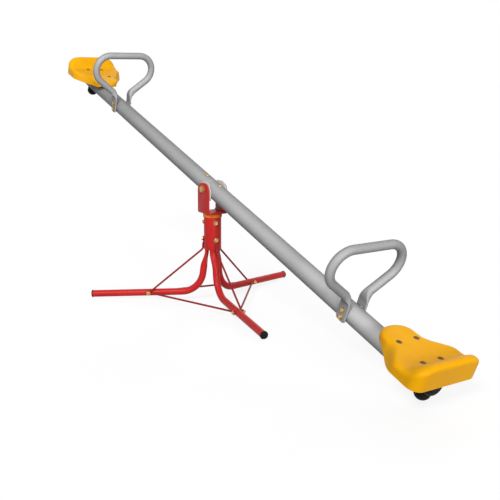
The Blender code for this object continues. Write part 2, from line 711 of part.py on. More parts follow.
def build_beam_tubes(tilt, paint):
    bore = BEAM_RADIUS - BEAM_WALL
    tube = [(GAP / 2, BEAM_RADIUS), (BEAM_REACH, BEAM_RADIUS), (BEAM_REACH, bore), (GAP / 2, bore)]
    mesh = turned(tube, "beam_tube", loop=True)
    through = 4 * BEAM_RADIUS
    for name, sign in ENDS:
        half = add_object(f"beam_tube_{name}", mesh.copy(), paint["silver"], tilt, rotation=end_turn(sign))
        screw = Vector((COUPLER_SCREW_AT, 0, BEAM_RADIUS))
        holes = [drill(PIVOT_BUSH_RADIUS + GAP, through, Vector(), Y_AXIS),
                 drill(COUPLER_SCREW_RADIUS + GAP, BEAM_RADIUS, screw, Z_AXIS)]
        for along, rise in handle_bolt_spots():
            holes.append(drill(HANDLE_BOLT_RADIUS + GAP, through, Vector((along, 0, rise)), Y_AXIS))
        carve(half, holes)

    inner = COUPLER_RADIUS - COUPLER_WALL
    tube = [(-COUPLER_REACH, COUPLER_RADIUS), (COUPLER_REACH, COUPLER_RADIUS), (COUPLER_REACH, inner),
            (-COUPLER_REACH, inner)]
    coupler = add_object("beam_coupler", turned(tube, "coupler", loop=True), paint["steel"], tilt)
    holes = [drill(PIVOT_BUSH_RADIUS + GAP, through, Vector(), Y_AXIS)]
    for _, sign in ENDS:
        spot = Vector((sign * COUPLER_SCREW_AT, 0, COUPLER_RADIUS))
        holes.append(drill(COUPLER_SCREW_RADIUS + GAP, COUPLER_RADIUS, spot, Z_AXIS))
    carve(coupler, holes)

    across = axis_turn(Y_AXIS)
    bush = [(-BEAM_RADIUS, PIVOT_BUSH_RADIUS), (BEAM_RADIUS, PIVOT_BUSH_RADIUS),
            (BEAM_RADIUS, PIVOT_BUSH_BORE), (-BEAM_RADIUS, PIVOT_BUSH_BORE)]
    mesh = turned(bush, "pivot_bush", CAP_SIDES, loop=True)
    add_object("pivot_bush", mesh, paint["steel"], tilt, rotation=across)

    depth = BEAM_WALL + COUPLER_WALL + 3 * GAP
    screw = button_bolt(COUPLER_SCREW_RADIUS, COUPLER_SCREW_RADIUS * HEAD_SHARE, depth, "coupler_screw")
    for name, sign in ENDS:
        place = (sign * COUPLER_SCREW_AT, 0, BEAM_RADIUS + GAP)
        add_object(f"coupler_screw_{name}", screw, paint["zinc"], tilt, place, axis_turn(-Z_AXIS))


def build_beam_ends(tilt, paint):
    bore = BEAM_RADIUS - BEAM_WALL - GAP
    plug = [(BEAM_REACH - END_CAP_SPIGOT, bore * PLUG_TAPER), (BEAM_REACH - END_CAP_SPIGOT * PLUG_LEAD, bore),
            (BEAM_REACH + GAP, bore), (BEAM_REACH + GAP, BEAM_RADIUS)]
    plug += [(BEAM_REACH + END_CAP_FLANGE * along, BEAM_RADIUS * share) for along, share in END_CAP_DOME]
    cap = turned(plug, "end_cap")
    neck = BUMPER_RADIUS * BUMPER_NECK
    dome = [(0, neck), (BUMPER_DOME_DEPTH * BUMPER_NECK_END, neck)]
    for k in range(BUMPER_STEPS + 1):
        turn = pi / 2 * k / (BUMPER_STEPS + BUMPER_TIP_FLAT)
        dome.append((BUMPER_DOME_DEPTH + BUMPER_RADIUS * sin(turn), BUMPER_RADIUS * cos(turn)))
    dome[-1] = (BUMPER_TIP, dome[-1][1])
    saddle = turned([(-BEAM_REACH, BEAM_RADIUS + GAP), (BEAM_REACH, BEAM_RADIUS + GAP)], "saddle")
    for name, sign in ENDS:
        add_object(f"end_cap_{name}", cap, paint["black"], tilt, rotation=end_turn(sign))
        down = axis_turn(-Z_AXIS)
        bumper = add_object(f"bumper_{name}", turned(dome, "bumper", CAP_SIDES), paint["black"], tilt,
                            (sign * BUMPER_AT, 0, 0), down)
        carve(bumper, [(saddle.copy(), down.inverted().to_4x4())])


def build_handles(tilt, paint):
    # Half of the loop in the plane (across, up), from the middle of the grip to the foot
    turn = pi - HANDLE_SLOPE
    bend = pi / 2 - HANDLE_SLOPE
    corner_end = GRIP_HALF + GRIP_CORNER_RADIUS * sin(turn)
    sloped = (corner_end - FOOT_CENTRE - HANDLE_FOOT_BEND * (1 - cos(bend))) / cos(HANDLE_SLOPE)
    half = Walk(0.0, GRIP_HEIGHT, 0.0).straight(GRIP_HALF)
    half.arc(GRIP_CORNER_RADIUS, -turn).straight(sloped)
    press_from = half.end[3]
    half.arc(HANDLE_FOOT_BEND, bend)
    half.straight(HANDLE_FOOT_LEAD)
    press_to = half.end[3]
    half.straight(half.end[1] + FOOT_BOLT_DOWN + FOOT_MARGIN)
    rings = []
    for u, v, heading, gone in half.marks[1:]:
        share = ease((gone - press_from) / (press_to - press_from))
        normal = Vector((0, -sin(heading), cos(heading)))
        section = flat_section(HANDLE_RADIUS, FOOT_THICKNESS, FOOT_WIDTH, share)
        rings.append([Vector((wide, u, v)) + normal * across for across, wide in section])
    mirrored = [[Vector((point.x, -point.y, point.z)) for point in ring] for ring in rings]
    mesh = loft(mirrored[::-1] + rings, "handle")
    for name, sign in ENDS:
        handle = add_object(f"handle_{name}", mesh.copy(), paint["silver"], tilt, (sign * HANDLE_AT, 0, 0),
                            Matrix.Rotation(sign * HANDLE_LEAN, 3, "Y"))
        carve(handle, [drill(HANDLE_BOLT_RADIUS + GAP, 6 * BEAM_RADIUS, Vector((0, 0, rise)), Y_AXIS)
                       for rise in (FOOT_BOLT_UP, -FOOT_BOLT_DOWN)])

    side = BEAM_RADIUS + GAP + FOOT_THICKNESS + GAP
    bolt = hex_bolt(HANDLE_BOLT_RADIUS, 2 * side + HANDLE_BOLT_RADIUS * BOLT_END_SHARE, "handle_bolt")
    for name, sign in ENDS:
        for level, (along, rise) in zip(("upper", "lower"), handle_bolt_spots()):
            place = (sign * along, -side, rise)
            add_object(f"handle_bolt_{name}_{level}", bolt, paint["zinc"], tilt, place, axis_turn(Y_AXIS))


def outline_half(x, length, halves, flare, rounds):
    # Half width of a seat outline at a distance from its own nose
    nose = max(0.0, 1 - x / rounds[0])
    half = halves[0] * sqrt(1 - nose * nose)
    half += (halves[1] - halves[0]) * ease((x - flare[0]) / (flare[1] - flare[0]))
    corner = max(0.0, rounds[1] - length + x)
    return half - rounds[1] + sqrt(rounds[1] ** 2 - corner ** 2)


def seat_outline(start, end, halves, flare, rounds, inset=0.0):
    # Closed outline from the nose round the +y side to the middle of the rear, then back along the -y side
    start, end = start + inset, end - inset
    halves = [half - inset for half in halves]
    flare = [place - start for place in flare]
    side = []
    for k in range(SEAT_STATIONS + 1):
        x = (end - start) * (1 - cos(pi * k / SEAT_STATIONS)) / 2
        side.append(Vector((start + x, outline_half(x, end - start, halves, flare, rounds))))
    side.append(Vector((end, 0)))
    return side + [Vector((p.x, -p.y)) for p in side[-2:0:-1]]


def seat_height(x, y):
    # Pan that dips a little in the middle and rises to a high lip at the rear, rounded off at both ends
    share = min(max((abs(y) - SEAT_LIP_FLAT_HALF) / (SEAT_LIP_HALF - SEAT_LIP_FLAT_HALF), 0.0), 1.0)
    side = 1 - SEAT_LIP_FALL * (1 - sqrt(1 - share * share))
    lip = SEAT_LIP_RISE * side * ease((x - SEAT_LIP_START) / (SEAT_LIP_CREST - SEAT_LIP_START))
    return SEAT_TOP + lip + SEAT_DISH * (abs(y) / EDGE_HALVES[1]) ** 2


def seat_rim(x, y):
    # Lower edge of the skirt, lifted in an arch over the beam at the nose
    if x > RIM_END / 2:
        return SEAT_RIM
    over = BEAM_RADIUS + SEAT_WALL + 2 * GAP
    return over + (SEAT_RIM - over) * ease((abs(y) - BEAM_RADIUS) / SEAT_RIM_ARCH)


def build_seat_shell(name):
    rim = seat_outline(0.0, RIM_END, RIM_HALVES, RIM_FLARE, RIM_ROUNDS)
    edge = seat_outline(EDGE_START, EDGE_END, EDGE_HALVES, EDGE_FLARE, EDGE_ROUNDS)
    brow = seat_outline(EDGE_START, EDGE_END, EDGE_HALVES, EDGE_FLARE, EDGE_ROUNDS, SEAT_EDGE_ROUND)
    rings = [[Vector((p.x, p.y, seat_rim(p.x, p.y))) for p in rim]]
    rings.append([Vector((p.x, p.y, seat_height(p.x, p.y) - SEAT_EDGE_ROUND)) for p in edge])
    rings.append([Vector((p.x, p.y, seat_height(p.x, p.y))) for p in brow])
    for share in SEAT_RINGS + (0.0,):
        ring = []
        for p in brow:
            spine = Vector((min(max(p.x, SEAT_SPINE[0]), SEAT_SPINE[1]), 0))
            q = spine + (p - spine) * share
            ring.append(Vector((q.x, q.y, seat_height(q.x, q.y))))
        rings.append(ring)
    bm = bmesh.new()
    rows = [[bm.verts.new(point) for point in ring] for ring in rings]
    count = len(rim)
    for lower, upper in zip(rows, rows[1:]):
        for i in range(count):
            j = (i + 1) % count
            bm.faces.new((lower[i], lower[j], upper[j], upper[i]))
    bmesh.ops.remove_doubles(bm, verts=bm.verts, dist=MERGE_DISTANCE)
    bmesh.ops.recalc_face_normals(bm, faces=bm.faces)
    if sum(face.normal.z for face in bm.faces) < 0:
        bmesh.ops.reverse_faces(bm, faces=bm.faces)
    mesh = bpy.data.meshes.new(name)
    bm.to_mesh(mesh)
    bm.free()
    mesh.shade_smooth()
    return mesh


def seat_bolt_spots():
    rows = (SEAT_BOLT_AT, SEAT_BOLT_AT + SEAT_BOLT_PITCH)
    return [(along, side * SEAT_BOLT_HALF) for along in rows for side in (-1, 1)]


def build_seats(tilt, paint):
    bracket_half = SEAT_BOLT_HALF + BRACKET_SIDE
    leg_out = BRACKET_LEG_HALF + BRACKET_LEG
    beam = BEAM_RADIUS + GAP
    plate = BRACKET_TOP - BRACKET_PLATE
    section = [(-bracket_half, plate), (-leg_out, plate), (-leg_out, sqrt(beam ** 2 - leg_out ** 2)),
               (-BRACKET_LEG_HALF, sqrt(beam ** 2 - BRACKET_LEG_HALF ** 2)), (-BRACKET_LEG_HALF, plate),
               (BRACKET_LEG_HALF, plate), (BRACKET_LEG_HALF, sqrt(beam ** 2 - BRACKET_LEG_HALF ** 2)),
               (leg_out, sqrt(beam ** 2 - leg_out ** 2)), (leg_out, plate), (bracket_half, plate),
               (bracket_half, BRACKET_TOP), (-bracket_half, BRACKET_TOP)]
    start = SEAT_BOLT_AT - BRACKET_SIDE
    end = SEAT_BOLT_AT + SEAT_BOLT_PITCH + BRACKET_SIDE
    bracket_mesh = extruded([Vector((0, u, v)) for u, v in section], X_AXIS, start, end, "seat_bracket")
    through = 8 * BRACKET_PLATE
    bolt_length = SEAT_WALL + BRACKET_PLATE + 2 * GAP + SEAT_BOLT_RADIUS * BOLT_END_SHARE
    bolt = button_bolt(SEAT_BOLT_RADIUS, SEAT_BOLT_HEAD, bolt_length, "seat_bolt")
    names = ("front_left", "front_right", "rear_left", "rear_right")
    for name, sign in ENDS:
        turn = end_turn(sign)
        seat = add_object(f"seat_{name}", build_seat_shell(f"seat_{name}"), paint["yellow"], tilt,
                          (sign * SEAT_NOSE_AT, 0, 0), turn)
        shell = seat.modifiers.new("wall", "SOLIDIFY")
        shell.thickness = SEAT_WALL
        shell.offset = -1
        holes = []
        for along, side in seat_bolt_spots():
            spot = Vector((along - SEAT_NOSE_AT, side, SEAT_TOP))
            holes.append(drill(SEAT_BOLT_RADIUS + GAP, through, spot, Z_AXIS))
            spot.z += through / 2 - SEAT_SPOT_DEPTH
            holes.append(drill(SEAT_BOLT_HEAD + SEAT_SPOT_EDGE, through, spot, Z_AXIS, BOLT_SIDES))
        carve(seat, holes)
        bracket = add_object(f"seat_bracket_{name}", bracket_mesh.copy(), paint["steel"], tilt, rotation=turn)
        carve(bracket, [drill(SEAT_BOLT_RADIUS + GAP, through, Vector((along, side, BRACKET_TOP)), Z_AXIS)
                        for along, side in seat_bolt_spots()])
        for spot, (along, side) in zip(names, seat_bolt_spots()):
            place = turn @ Vector((along, side, SEAT_TOP - SEAT_SPOT_DEPTH + GAP))
            add_object(f"seat_bolt_{name}_{spot}", bolt, paint["zinc"], tilt, place, axis_turn(-Z_AXIS))


def centre_on_origin(root):
    # Put the middle of the whole object's plan over the origin
    bpy.context.view_layer.update()
    points = [obj.matrix_world @ vertex.co for obj in bpy.data.objects if obj.type == "MESH"
              for vertex in obj.data.vertices]
    for axis in (0, 1):
        values = [point[axis] for point in points]
        root.location[axis] = -(min(values) + max(values)) / 2
    bpy.context.view_layer.update()


def main():
    clear_scene()
    paint = make_materials()
    root = add_empty("seesaw")
    base = add_empty("base", parent=root)
    swivel = add_empty("swivel_axis", parent=root)
    tilt = add_empty("tilt_axis", (0, 0, PIVOT_HEIGHT), swivel)
    tilt.rotation_euler = (0, TILT, 0)
    bpy.context.view_layer.update()
    build_column(base, paint)
    build_legs(base, paint)
    build_leg_caps(base, paint)
    build_tie_rods(base, paint)
    build_stays(base, paint)
    build_leg_bolts(base, paint)
    build_fork(swivel, paint)
    build_beam_tubes(tilt, paint)
    build_beam_ends(tilt, paint)
    build_handles(tilt, paint)
    build_seats(tilt, paint)
    centre_on_origin(root)


main()
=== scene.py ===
import json
import random
import bpy
import bmesh
from math import cos, pi, radians, sin, sqrt, tan
from mathutils import Matrix, Vector

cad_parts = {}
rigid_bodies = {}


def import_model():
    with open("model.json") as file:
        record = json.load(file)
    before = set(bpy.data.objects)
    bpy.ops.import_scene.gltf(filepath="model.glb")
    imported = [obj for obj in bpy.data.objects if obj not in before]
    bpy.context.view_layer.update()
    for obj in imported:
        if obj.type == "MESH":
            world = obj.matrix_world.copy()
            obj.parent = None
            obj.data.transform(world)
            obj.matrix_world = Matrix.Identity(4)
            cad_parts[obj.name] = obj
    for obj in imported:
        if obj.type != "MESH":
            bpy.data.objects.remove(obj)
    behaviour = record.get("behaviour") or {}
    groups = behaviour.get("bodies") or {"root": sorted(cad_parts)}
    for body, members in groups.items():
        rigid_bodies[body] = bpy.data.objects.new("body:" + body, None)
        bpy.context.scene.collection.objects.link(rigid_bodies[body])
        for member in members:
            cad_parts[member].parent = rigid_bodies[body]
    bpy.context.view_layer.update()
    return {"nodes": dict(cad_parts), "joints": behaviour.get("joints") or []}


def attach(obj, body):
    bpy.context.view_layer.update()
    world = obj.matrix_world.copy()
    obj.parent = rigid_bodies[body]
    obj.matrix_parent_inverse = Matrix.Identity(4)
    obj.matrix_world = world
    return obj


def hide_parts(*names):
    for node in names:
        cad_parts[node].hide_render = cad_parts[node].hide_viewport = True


for leftover in list(bpy.data.objects):  # start from an empty file
    bpy.data.objects.remove(leftover)

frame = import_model()
nodes = frame["nodes"]
print("frame loaded:", len(nodes), "solids")

xAxis, yAxis, zAxis = Vector((1, 0, 0)), Vector((0, 1, 0)), Vector((0, 0, 1))
upright = Matrix.Rotation(-pi / 2, 4, "Y")  # turns a lathe's axis from x to z
crosswise = Matrix.Rotation(pi / 2, 4, "Z")  # turns it from x to y
gap = 0.0003  # air left between pieces that touch
tiltJoint = next(j for j in frame["joints"] if j["name"] == "tilt")
pivot = Vector(tiltJoint["pos_m"])
tiltAngle = radians(tiltJoint["range_deg"][1] / 2)
basePlace = Matrix.Translation((pivot.x, pivot.y, 0))
beamPlace = Matrix.Translation(pivot) @ Matrix.Rotation(tiltAngle, 4, "Y")
beamEnds = (("near", 1), ("far", -1))
legNames = ("left", "front", "right")


def endPlace(sign):  # the far end is the near one turned half round
    return beamPlace @ Matrix.Rotation(0 if sign > 0 else pi, 4, "Z")


# finishes
# slantShade is the share of the tone that the painted shade at a slant leaves
finishLook = {
    "silverPaint": {"tone": (0.54, 0.54, 0.545), "shade": (0.48, 0.48, 0.485), "slantShade": 0.40, "metal": 0.12,
                    "rough": 0.56, "peel": 900.0, "peelDepth": 0.05, "scuff": (0.55, 0.55, 0.56),
                    "edge": (0.62, 0.61, 0.60)},
    # the silver paint made darker for the handles: painted shade
    "handleShadedSilver": {"tone": (0.40, 0.40, 0.405), "shade": (0.35, 0.35, 0.355), "slantShade": 0.55, "metal": 0.05,
                  "rough": 0.46, "peel": 900.0, "peelDepth": 0.05, "scuff": (0.48, 0.48, 0.49),
                  "edge": (0.56, 0.55, 0.54)},
    "redPaint": {"tone": (0.52, 0.021, 0.019), "shade": (0.46, 0.016, 0.015), "slantShade": 0.95, "metal": 0.0,
                 "rough": 0.34, "peel": 700.0, "peelDepth": 0.06, "scuff": (0.58, 0.06, 0.055),
                 "edge": (0.60, 0.13, 0.11)},
    "rodPaint": {"tone": (0.30, 0.017, 0.020), "shade": (0.25, 0.013, 0.016), "slantShade": 0.9, "metal": 0.0,
                 "rough": 0.40, "peel": 700.0, "peelDepth": 0.06, "scuff": (0.38, 0.05, 0.05),
                 "edge": (0.42, 0.10, 0.09)},
    "seatYellow": {"tone": (0.82, 0.39, 0.004), "shade": (0.76, 0.35, 0.003), "rough": 0.38,
                   "grain": 1400.0, "grainDepth": 0.10, "specular": 0.08},
    "blackRubber": {"tone": (0.005, 0.005, 0.006), "shade": (0.010, 0.010, 0.011), "rough": 0.55,
                    "grain": 1800.0, "grainDepth": 0.18, "specular": 0.09},
    "orangeBush": {"tone": (0.82, 0.20, 0.025), "shade": (0.70, 0.15, 0.018), "rough": 0.42,
                   "grain": 900.0, "grainDepth": 0.06, "specular": 0.08},
    "paleNylon": {"tone": (0.58, 0.58, 0.57), "shade": (0.50, 0.50, 0.49), "rough": 0.50,
                  "grain": 1100.0, "grainDepth": 0.07, "specular": 0.08},
    "yellowZinc": {"tone": (0.60, 0.37, 0.14), "shade": (0.42, 0.27, 0.12), "rough": 0.30},
    # the yellow zinc's colours at about 0.4 of their brightness, and rougher; the seat bolts take it
    "dullZinc": {"tone": (0.24, 0.15, 0.06), "shade": (0.13, 0.085, 0.04), "rough": 0.42},
    "bareSteel": {"tone": (0.42, 0.42, 0.43), "shade": (0.30, 0.30, 0.31), "rough": 0.32},
}


class Nodes:  # short way to add and link shader nodes
    def __init__(self, name):
        self.material = bpy.data.materials.new(name)
        self.material.use_nodes = True
        self.tree = self.material.node_tree
        self.shader = self.tree.nodes["Principled BSDF"]
        self.coords = self.add("ShaderNodeTexCoord").outputs["Object"]

    def add(self, kind, **settings):
        node = self.tree.nodes.new(kind)
        for key, value in settings.items():
            setattr(node, key, value)
        return node

    def link(self, output, socket):
        self.tree.links.new(output, socket)

    def noise(self, scale, detail=4.0, stretch=(1, 1, 1), turn=(0, 0, 0), rough=0.55):
        mapping = self.add("ShaderNodeMapping")
        mapping.inputs["Scale"].default_value = stretch
        mapping.inputs["Rotation"].default_value = turn
        self.link(self.coords, mapping.inputs["Vector"])
        texture = self.add("ShaderNodeTexNoise")
        texture.inputs["Scale"].default_value = scale
        texture.inputs["Detail"].default_value = detail
        texture.inputs["Roughness"].default_value = rough
        self.link(mapping.outputs["Vector"], texture.inputs["Vector"])
        return texture.outputs["Fac"]

    def ramp(self, value, low, high, start=0.0, end=1.0):
        ranged = self.add("ShaderNodeMapRange")
        ranged.inputs["From Min"].default_value = low
        ranged.inputs["From Max"].default_value = high
        ranged.inputs["To Min"].default_value = start
        ranged.inputs["To Max"].default_value = end
        self.link(value, ranged.inputs["Value"])
        return ranged.outputs["Result"]

    def patch(self, marks, start=0.0, end=1.0, **shape):  # noise of a scale and detail, cut to a range
        scale, detail, low, high = marks
        return self.ramp(self.noise(scale, detail, **shape), low, high, start, end)

    def mix(self, share, first, second):
        mixer = self.add("ShaderNodeMix", data_type="RGBA")
        self.link(share, mixer.inputs[0])
        for socket, colour in ((mixer.inputs[6], first), (mixer.inputs[7], second)):
            if isinstance(colour, tuple):
                socket.default_value = (*colour, 1.0)
            else:
                self.link(colour, socket)
        return mixer.outputs[2]

    def math(self, kind, first, second):
        node = self.add("ShaderNodeMath", operation=kind)
        for socket, value in zip(node.inputs, (first, second)):
            if isinstance(value, (int, float)):
                socket.default_value = value
            else:
                self.link(value, socket)
        return node.outputs[0]

    def bump(self, height, strength, distance, under=None):
        node = self.add("ShaderNodeBump")
        node.inputs["Strength"].default_value = strength
        node.inputs["Distance"].default_value = distance
        self.link(height, node.inputs["Height"])
        if under is not None:
            self.link(under, node.inputs["Normal"])
        return node.outputs["Normal"]

    def edges(self, radius, flat=0.985, turned=0.86):  # bright where the surface turns a corner
        soft = self.add("ShaderNodeBevel", samples=4)
        soft.inputs["Radius"].default_value = radius
        plain = self.add("ShaderNodeNewGeometry")
        dot = self.add("ShaderNodeVectorMath", operation="DOT_PRODUCT")
        self.link(soft.outputs["Normal"], dot.inputs[0])
        self.link(plain.outputs["Normal"], dot.inputs[1])
        return self.ramp(dot.outputs["Value"], flat, turned)

    def slant(self):  # 0 where the surface is faced, 1 where it is grazed; the mask of the painted shade at a slant
        weight = self.add("ShaderNodeLayerWeight")
        weight.inputs["Blend"].default_value = 0.5
        return weight.outputs["Facing"]

    def finish(self, colour, rough, normal, metal=0.0, specular=0.14):
        self.link(colour, self.shader.inputs["Base Color"])
        self.link(rough, self.shader.inputs["Roughness"])
        self.link(normal, self.shader.inputs["Normal"])
        self.shader.inputs["Metallic"].default_value = metal
        self.shader.inputs["Specular IOR Level"].default_value = specular
        return self.material


# noise scale, detail and the range it is cut to
paintMarks = {"cloud": (11.0, 5.0, 0.35, 0.68), "scratch": (70.0, 8.0, 0.66, 0.74),
              "blotch": (26.0, 3.0, 0.50, 0.66), "wear": (120.0, 4.0, 0.42, 0.62),
              "sheen": (34.0, 6.0, 0.3, 0.7)}
# slant is the facing range over which the painted shade at a slant comes in
paintUse = {"scratchStretch": (0.12, 1.6, 1.6), "scratchRough": 0.7, "scuffShare": 0.55, "wearShare": 0.6,
            "cornerRadius": 0.0012, "slant": (0.12, 0.72), "sheen": (-0.06, 0.07), "scuffDulls": 0.18,
            "peelStep": 0.0006, "scuffDepth": 0.10, "scuffStep": 0.0002}


def sprayedPaint(name):  # satin spray paint: cloudy tone, orange peel, fine scuffs, rubbed corners, and painted shade where it is seen at a slant
    look, use = finishLook[name], paintUse
    paint = Nodes(name)
    colour = paint.mix(paint.patch(paintMarks["cloud"]), look["tone"], look["shade"])
    scratch = paint.patch(paintMarks["scratch"], stretch=use["scratchStretch"], turn=(0, tiltAngle, 0),
                          rough=use["scratchRough"])
    scuff = paint.math("MULTIPLY", scratch, paint.patch(paintMarks["blotch"]))
    scuff = paint.math("MULTIPLY", scuff, use["scuffShare"])
    colour = paint.mix(scuff, colour, look["scuff"])
    wear = paint.patch(paintMarks["wear"], 0.0, use["wearShare"])
    worn = paint.math("MULTIPLY", paint.edges(use["cornerRadius"]), wear)
    colour = paint.mix(worn, colour, look["edge"])
    dark = tuple(look["slantShade"] * part for part in look["tone"])  # painted shade: the colour darkens where the surface is seen at a slant, toward a tube's outline
    colour = paint.mix(paint.ramp(paint.slant(), *use["slant"]), colour, dark)
    sheen = paint.patch(paintMarks["sheen"], *(look["rough"] + change for change in use["sheen"]))
    rough = paint.math("ADD", sheen, paint.math("MULTIPLY", scuff, use["scuffDulls"]))
    peel = paint.bump(paint.noise(look["peel"], detail=2.0), look["peelDepth"], use["peelStep"])
    normal = paint.bump(scuff, use["scuffDepth"], use["scuffStep"], peel)
    return paint.finish(colour, rough, normal, look["metal"])


plasticMarks = {"flow": (7.0, 3.0, 0.32, 0.70), "speck": (420.0, 3.0, 0.58, 0.80),
                "rub": (48.0, 7.0, 0.60, 0.72), "blotch": (14.0, 2.0, 0.48, 0.66),
                "sheen": (30.0, 5.0, 0.3, 0.7)}
plasticUse = {"flowStretch": (1.0, 2.2, 1.0), "speckShare": 0.22, "rubStretch": (1.8, 0.3, 1.0),
              "rubTurn": (0, 0, 0.5), "rubRough": 0.7, "sheen": (-0.05, 0.08), "rubDulls": 0.14,
              "grainStep": 0.0004, "rubDepth": 0.08, "rubStep": 0.0002}


def mouldedPlastic(name):  # spark-eroded grain, flow marks, rubbing
    look, use = finishLook[name], plasticUse
    plastic = Nodes(name)
    flow = plastic.patch(plasticMarks["flow"], stretch=use["flowStretch"])
    colour = plastic.mix(flow, look["tone"], look["shade"])
    colour = plastic.mix(plastic.patch(plasticMarks["speck"], 0.0, use["speckShare"]), colour, look["shade"])
    rub = plastic.patch(plasticMarks["rub"], stretch=use["rubStretch"], turn=use["rubTurn"],
                        rough=use["rubRough"])
    rub = plastic.math("MULTIPLY", rub, plastic.patch(plasticMarks["blotch"]))
    sheen = plastic.patch(plasticMarks["sheen"], *(look["rough"] + change for change in use["sheen"]))
    rough = plastic.math("ADD", sheen, plastic.math("MULTIPLY", rub, use["rubDulls"]))
    skin = plastic.bump(plastic.noise(look["grain"], detail=2.0), look["grainDepth"], use["grainStep"])
    normal = plastic.bump(rub, use["rubDepth"], use["rubStep"], skin)
    return plastic.finish(colour, rough, normal, 0.0, look["specular"])


platingMarks = {"drift": (160.0, 4.0, 0.32, 0.68), "tarnish": (520.0, 5.0, 0.56, 0.74),
                "sheen": (240.0, 5.0, 0.3, 0.7)}
platingUse = {"tarnishShare": 0.55, "tarnishTone": 0.55, "cornerRadius": 0.0005, "cornerShare": 0.5,
              "cornerTone": 1.35, "sheen": (-0.06, 0.14), "marks": (2600.0, 3.0), "markDepth": 0.08,
              "markStep": 0.0002, "metal": 0.85}


def platedMetal(name):  # passivated plating: drifting tone, dull patches, bright corners, fine marks
    look, use = finishLook[name], platingUse
    plating = Nodes(name)
    colour = plating.mix(plating.patch(platingMarks["drift"]), look["tone"], look["shade"])
    dark = tuple(use["tarnishTone"] * part for part in look["shade"])
    colour = plating.mix(plating.patch(platingMarks["tarnish"], 0.0, use["tarnishShare"]), colour, dark)
    bright = plating.math("MULTIPLY", plating.edges(use["cornerRadius"]), use["cornerShare"])
    colour = plating.mix(bright, colour, tuple(min(1.0, use["cornerTone"] * part) for part in look["tone"]))
    rough = plating.patch(platingMarks["sheen"], *(look["rough"] + change for change in use["sheen"]))
    normal = plating.bump(plating.noise(*use["marks"]), use["markDepth"], use["markStep"])
    return plating.finish(colour, rough, normal, use["metal"])


silverPaint = sprayedPaint("silverPaint")
# darker copy of the silver paint for the handles: painted shade
handleShadedSilver = sprayedPaint("handleShadedSilver")
redPaint = sprayedPaint("redPaint")
rodPaint = sprayedPaint("rodPaint")
seatYellow = mouldedPlastic("seatYellow")
blackRubber = mouldedPlastic("blackRubber")
orangeBush = mouldedPlastic("orangeBush")
paleNylon = mouldedPlastic("paleNylon")
yellowZinc = platedMetal("yellowZinc")
dullZinc = platedMetal("dullZinc")
bareSteel = platedMetal("bareSteel")
print("finishes made")


# mesh helpers
def skinRings(rings, loop=False, capped=True):  # skin over rings with equal counts
    bm = bmesh.new()
    rows = [[bm.verts.new(point) for point in ring] for ring in rings]
    pairs = list(zip(rows, rows[1:])) + ([(rows[-1], rows[0])] if loop else [])
    count = len(rows[0])
    for lower, upper in pairs:
        for i in range(count):
            j = (i + 1) % count
            bm.faces.new((lower[i], lower[j], upper[j], upper[i]))
    if capped and not loop:
        bm.faces.new(rows[0])
        bm.faces.new(rows[-1])
    return bm


def turnsOf(sides):
    return [2 * pi * k / sides for k in range(sides)]


def clipped(value):
    return max(-1.0, min(1.0, value))


def roundRing(radius, along, sides=72):
    return [Vector((along, radius * cos(turn), radius * sin(turn))) for turn in turnsOf(sides)]


def latheX(profile, sides=72, loop=False):  # turned about x from (along, radius)
    return skinRings([roundRing(radius, along, sides) for along, radius in profile], loop)


sideShare = 0.45  # most of a side that a rounded corner may take
finePoint = 0.00002  # radius of a lathe profile's tip


def cornerEnds(before, here, after, radius):  # where a soft bend leaves one side and meets the next
    back, on = before - here, after - here
    reach = min(radius, back.length * sideShare, on.length * sideShare)
    return here + back.normalized() * reach, here + on.normalized() * reach


def bendPoint(start, corner, end, share):
    return start * (1 - share) ** 2 + corner * 2 * share * (1 - share) + end * share * share


def softened(profile, radius, steps=4):  # round the corners of a lathe profile
    points = []
    for i, here in enumerate(profile):
        here = Vector(here)
        if i in (0, len(profile) - 1):
            points.append(tuple(here))
            continue
        start, end = cornerEnds(Vector(profile[i - 1]), here, Vector(profile[i + 1]), radius)
        points += [tuple(bendPoint(start, here, end, k / steps)) for k in range(steps + 1)]
    return points


plugSet = {"tipShare": 0.86, "taperShare": 0.7}


def spigot(at, length, bore):  # tapered stem of a plug, in a tube that ends at a place along x
    return [(at - length, 0.0), (at - length, bore * plugSet["tipShare"]),
            (at - length * plugSet["taperShare"], bore - gap), (at + gap, bore - gap)]


def pointed(profile):  # no ring shrinks to nothing
    return [(along, max(radius, finePoint)) for along, radius in profile]


def roundedOutline(corners, radii, steps=14):  # (u, v) corners replaced by arcs
    points = []
    for i, (corner, radius) in enumerate(zip(corners, radii)):
        here = Vector(corner)
        if radius == 0:
            points.append(here)
            continue
        before = (Vector(corners[i - 1]) - here).normalized()
        after = (Vector(corners[(i + 1) % len(corners)]) - here).normalized()
        half = before.angle(after) / 2
        centre = here + (before + after).normalized() * (radius / sin(half))
        first = here + before * (radius / tan(half)) - centre
        last = here + after * (radius / tan(half)) - centre
        sweep = first.angle_signed(last)
        points += [centre + Matrix.Rotation(-sweep * k / steps, 2) @ first for k in range(steps + 1)]
    return points


def prism(outline, axis, start, end):
    bm = bmesh.new()
    face = bm.faces.new([bm.verts.new(point + axis * start) for point in outline])
    grown = bmesh.ops.extrude_face_region(bm, geom=[face])
    moved = [item for item in grown["geom"] if isinstance(item, bmesh.types.BMVert)]
    bmesh.ops.translate(bm, verts=moved, vec=axis * (end - start))
    return bm


def toMesh(bm, name, merge=0.000002, upwards=False):
    bmesh.ops.remove_doubles(bm, verts=bm.verts, dist=merge)
    bmesh.ops.recalc_face_normals(bm, faces=bm.faces)
    if upwards and sum(face.normal.z for face in bm.faces) < 0:  # an open shell can come out inside out
        bmesh.ops.reverse_faces(bm, faces=bm.faces)
    mesh = bpy.data.meshes.new(name)
    bm.to_mesh(mesh)
    bm.free()
    return mesh


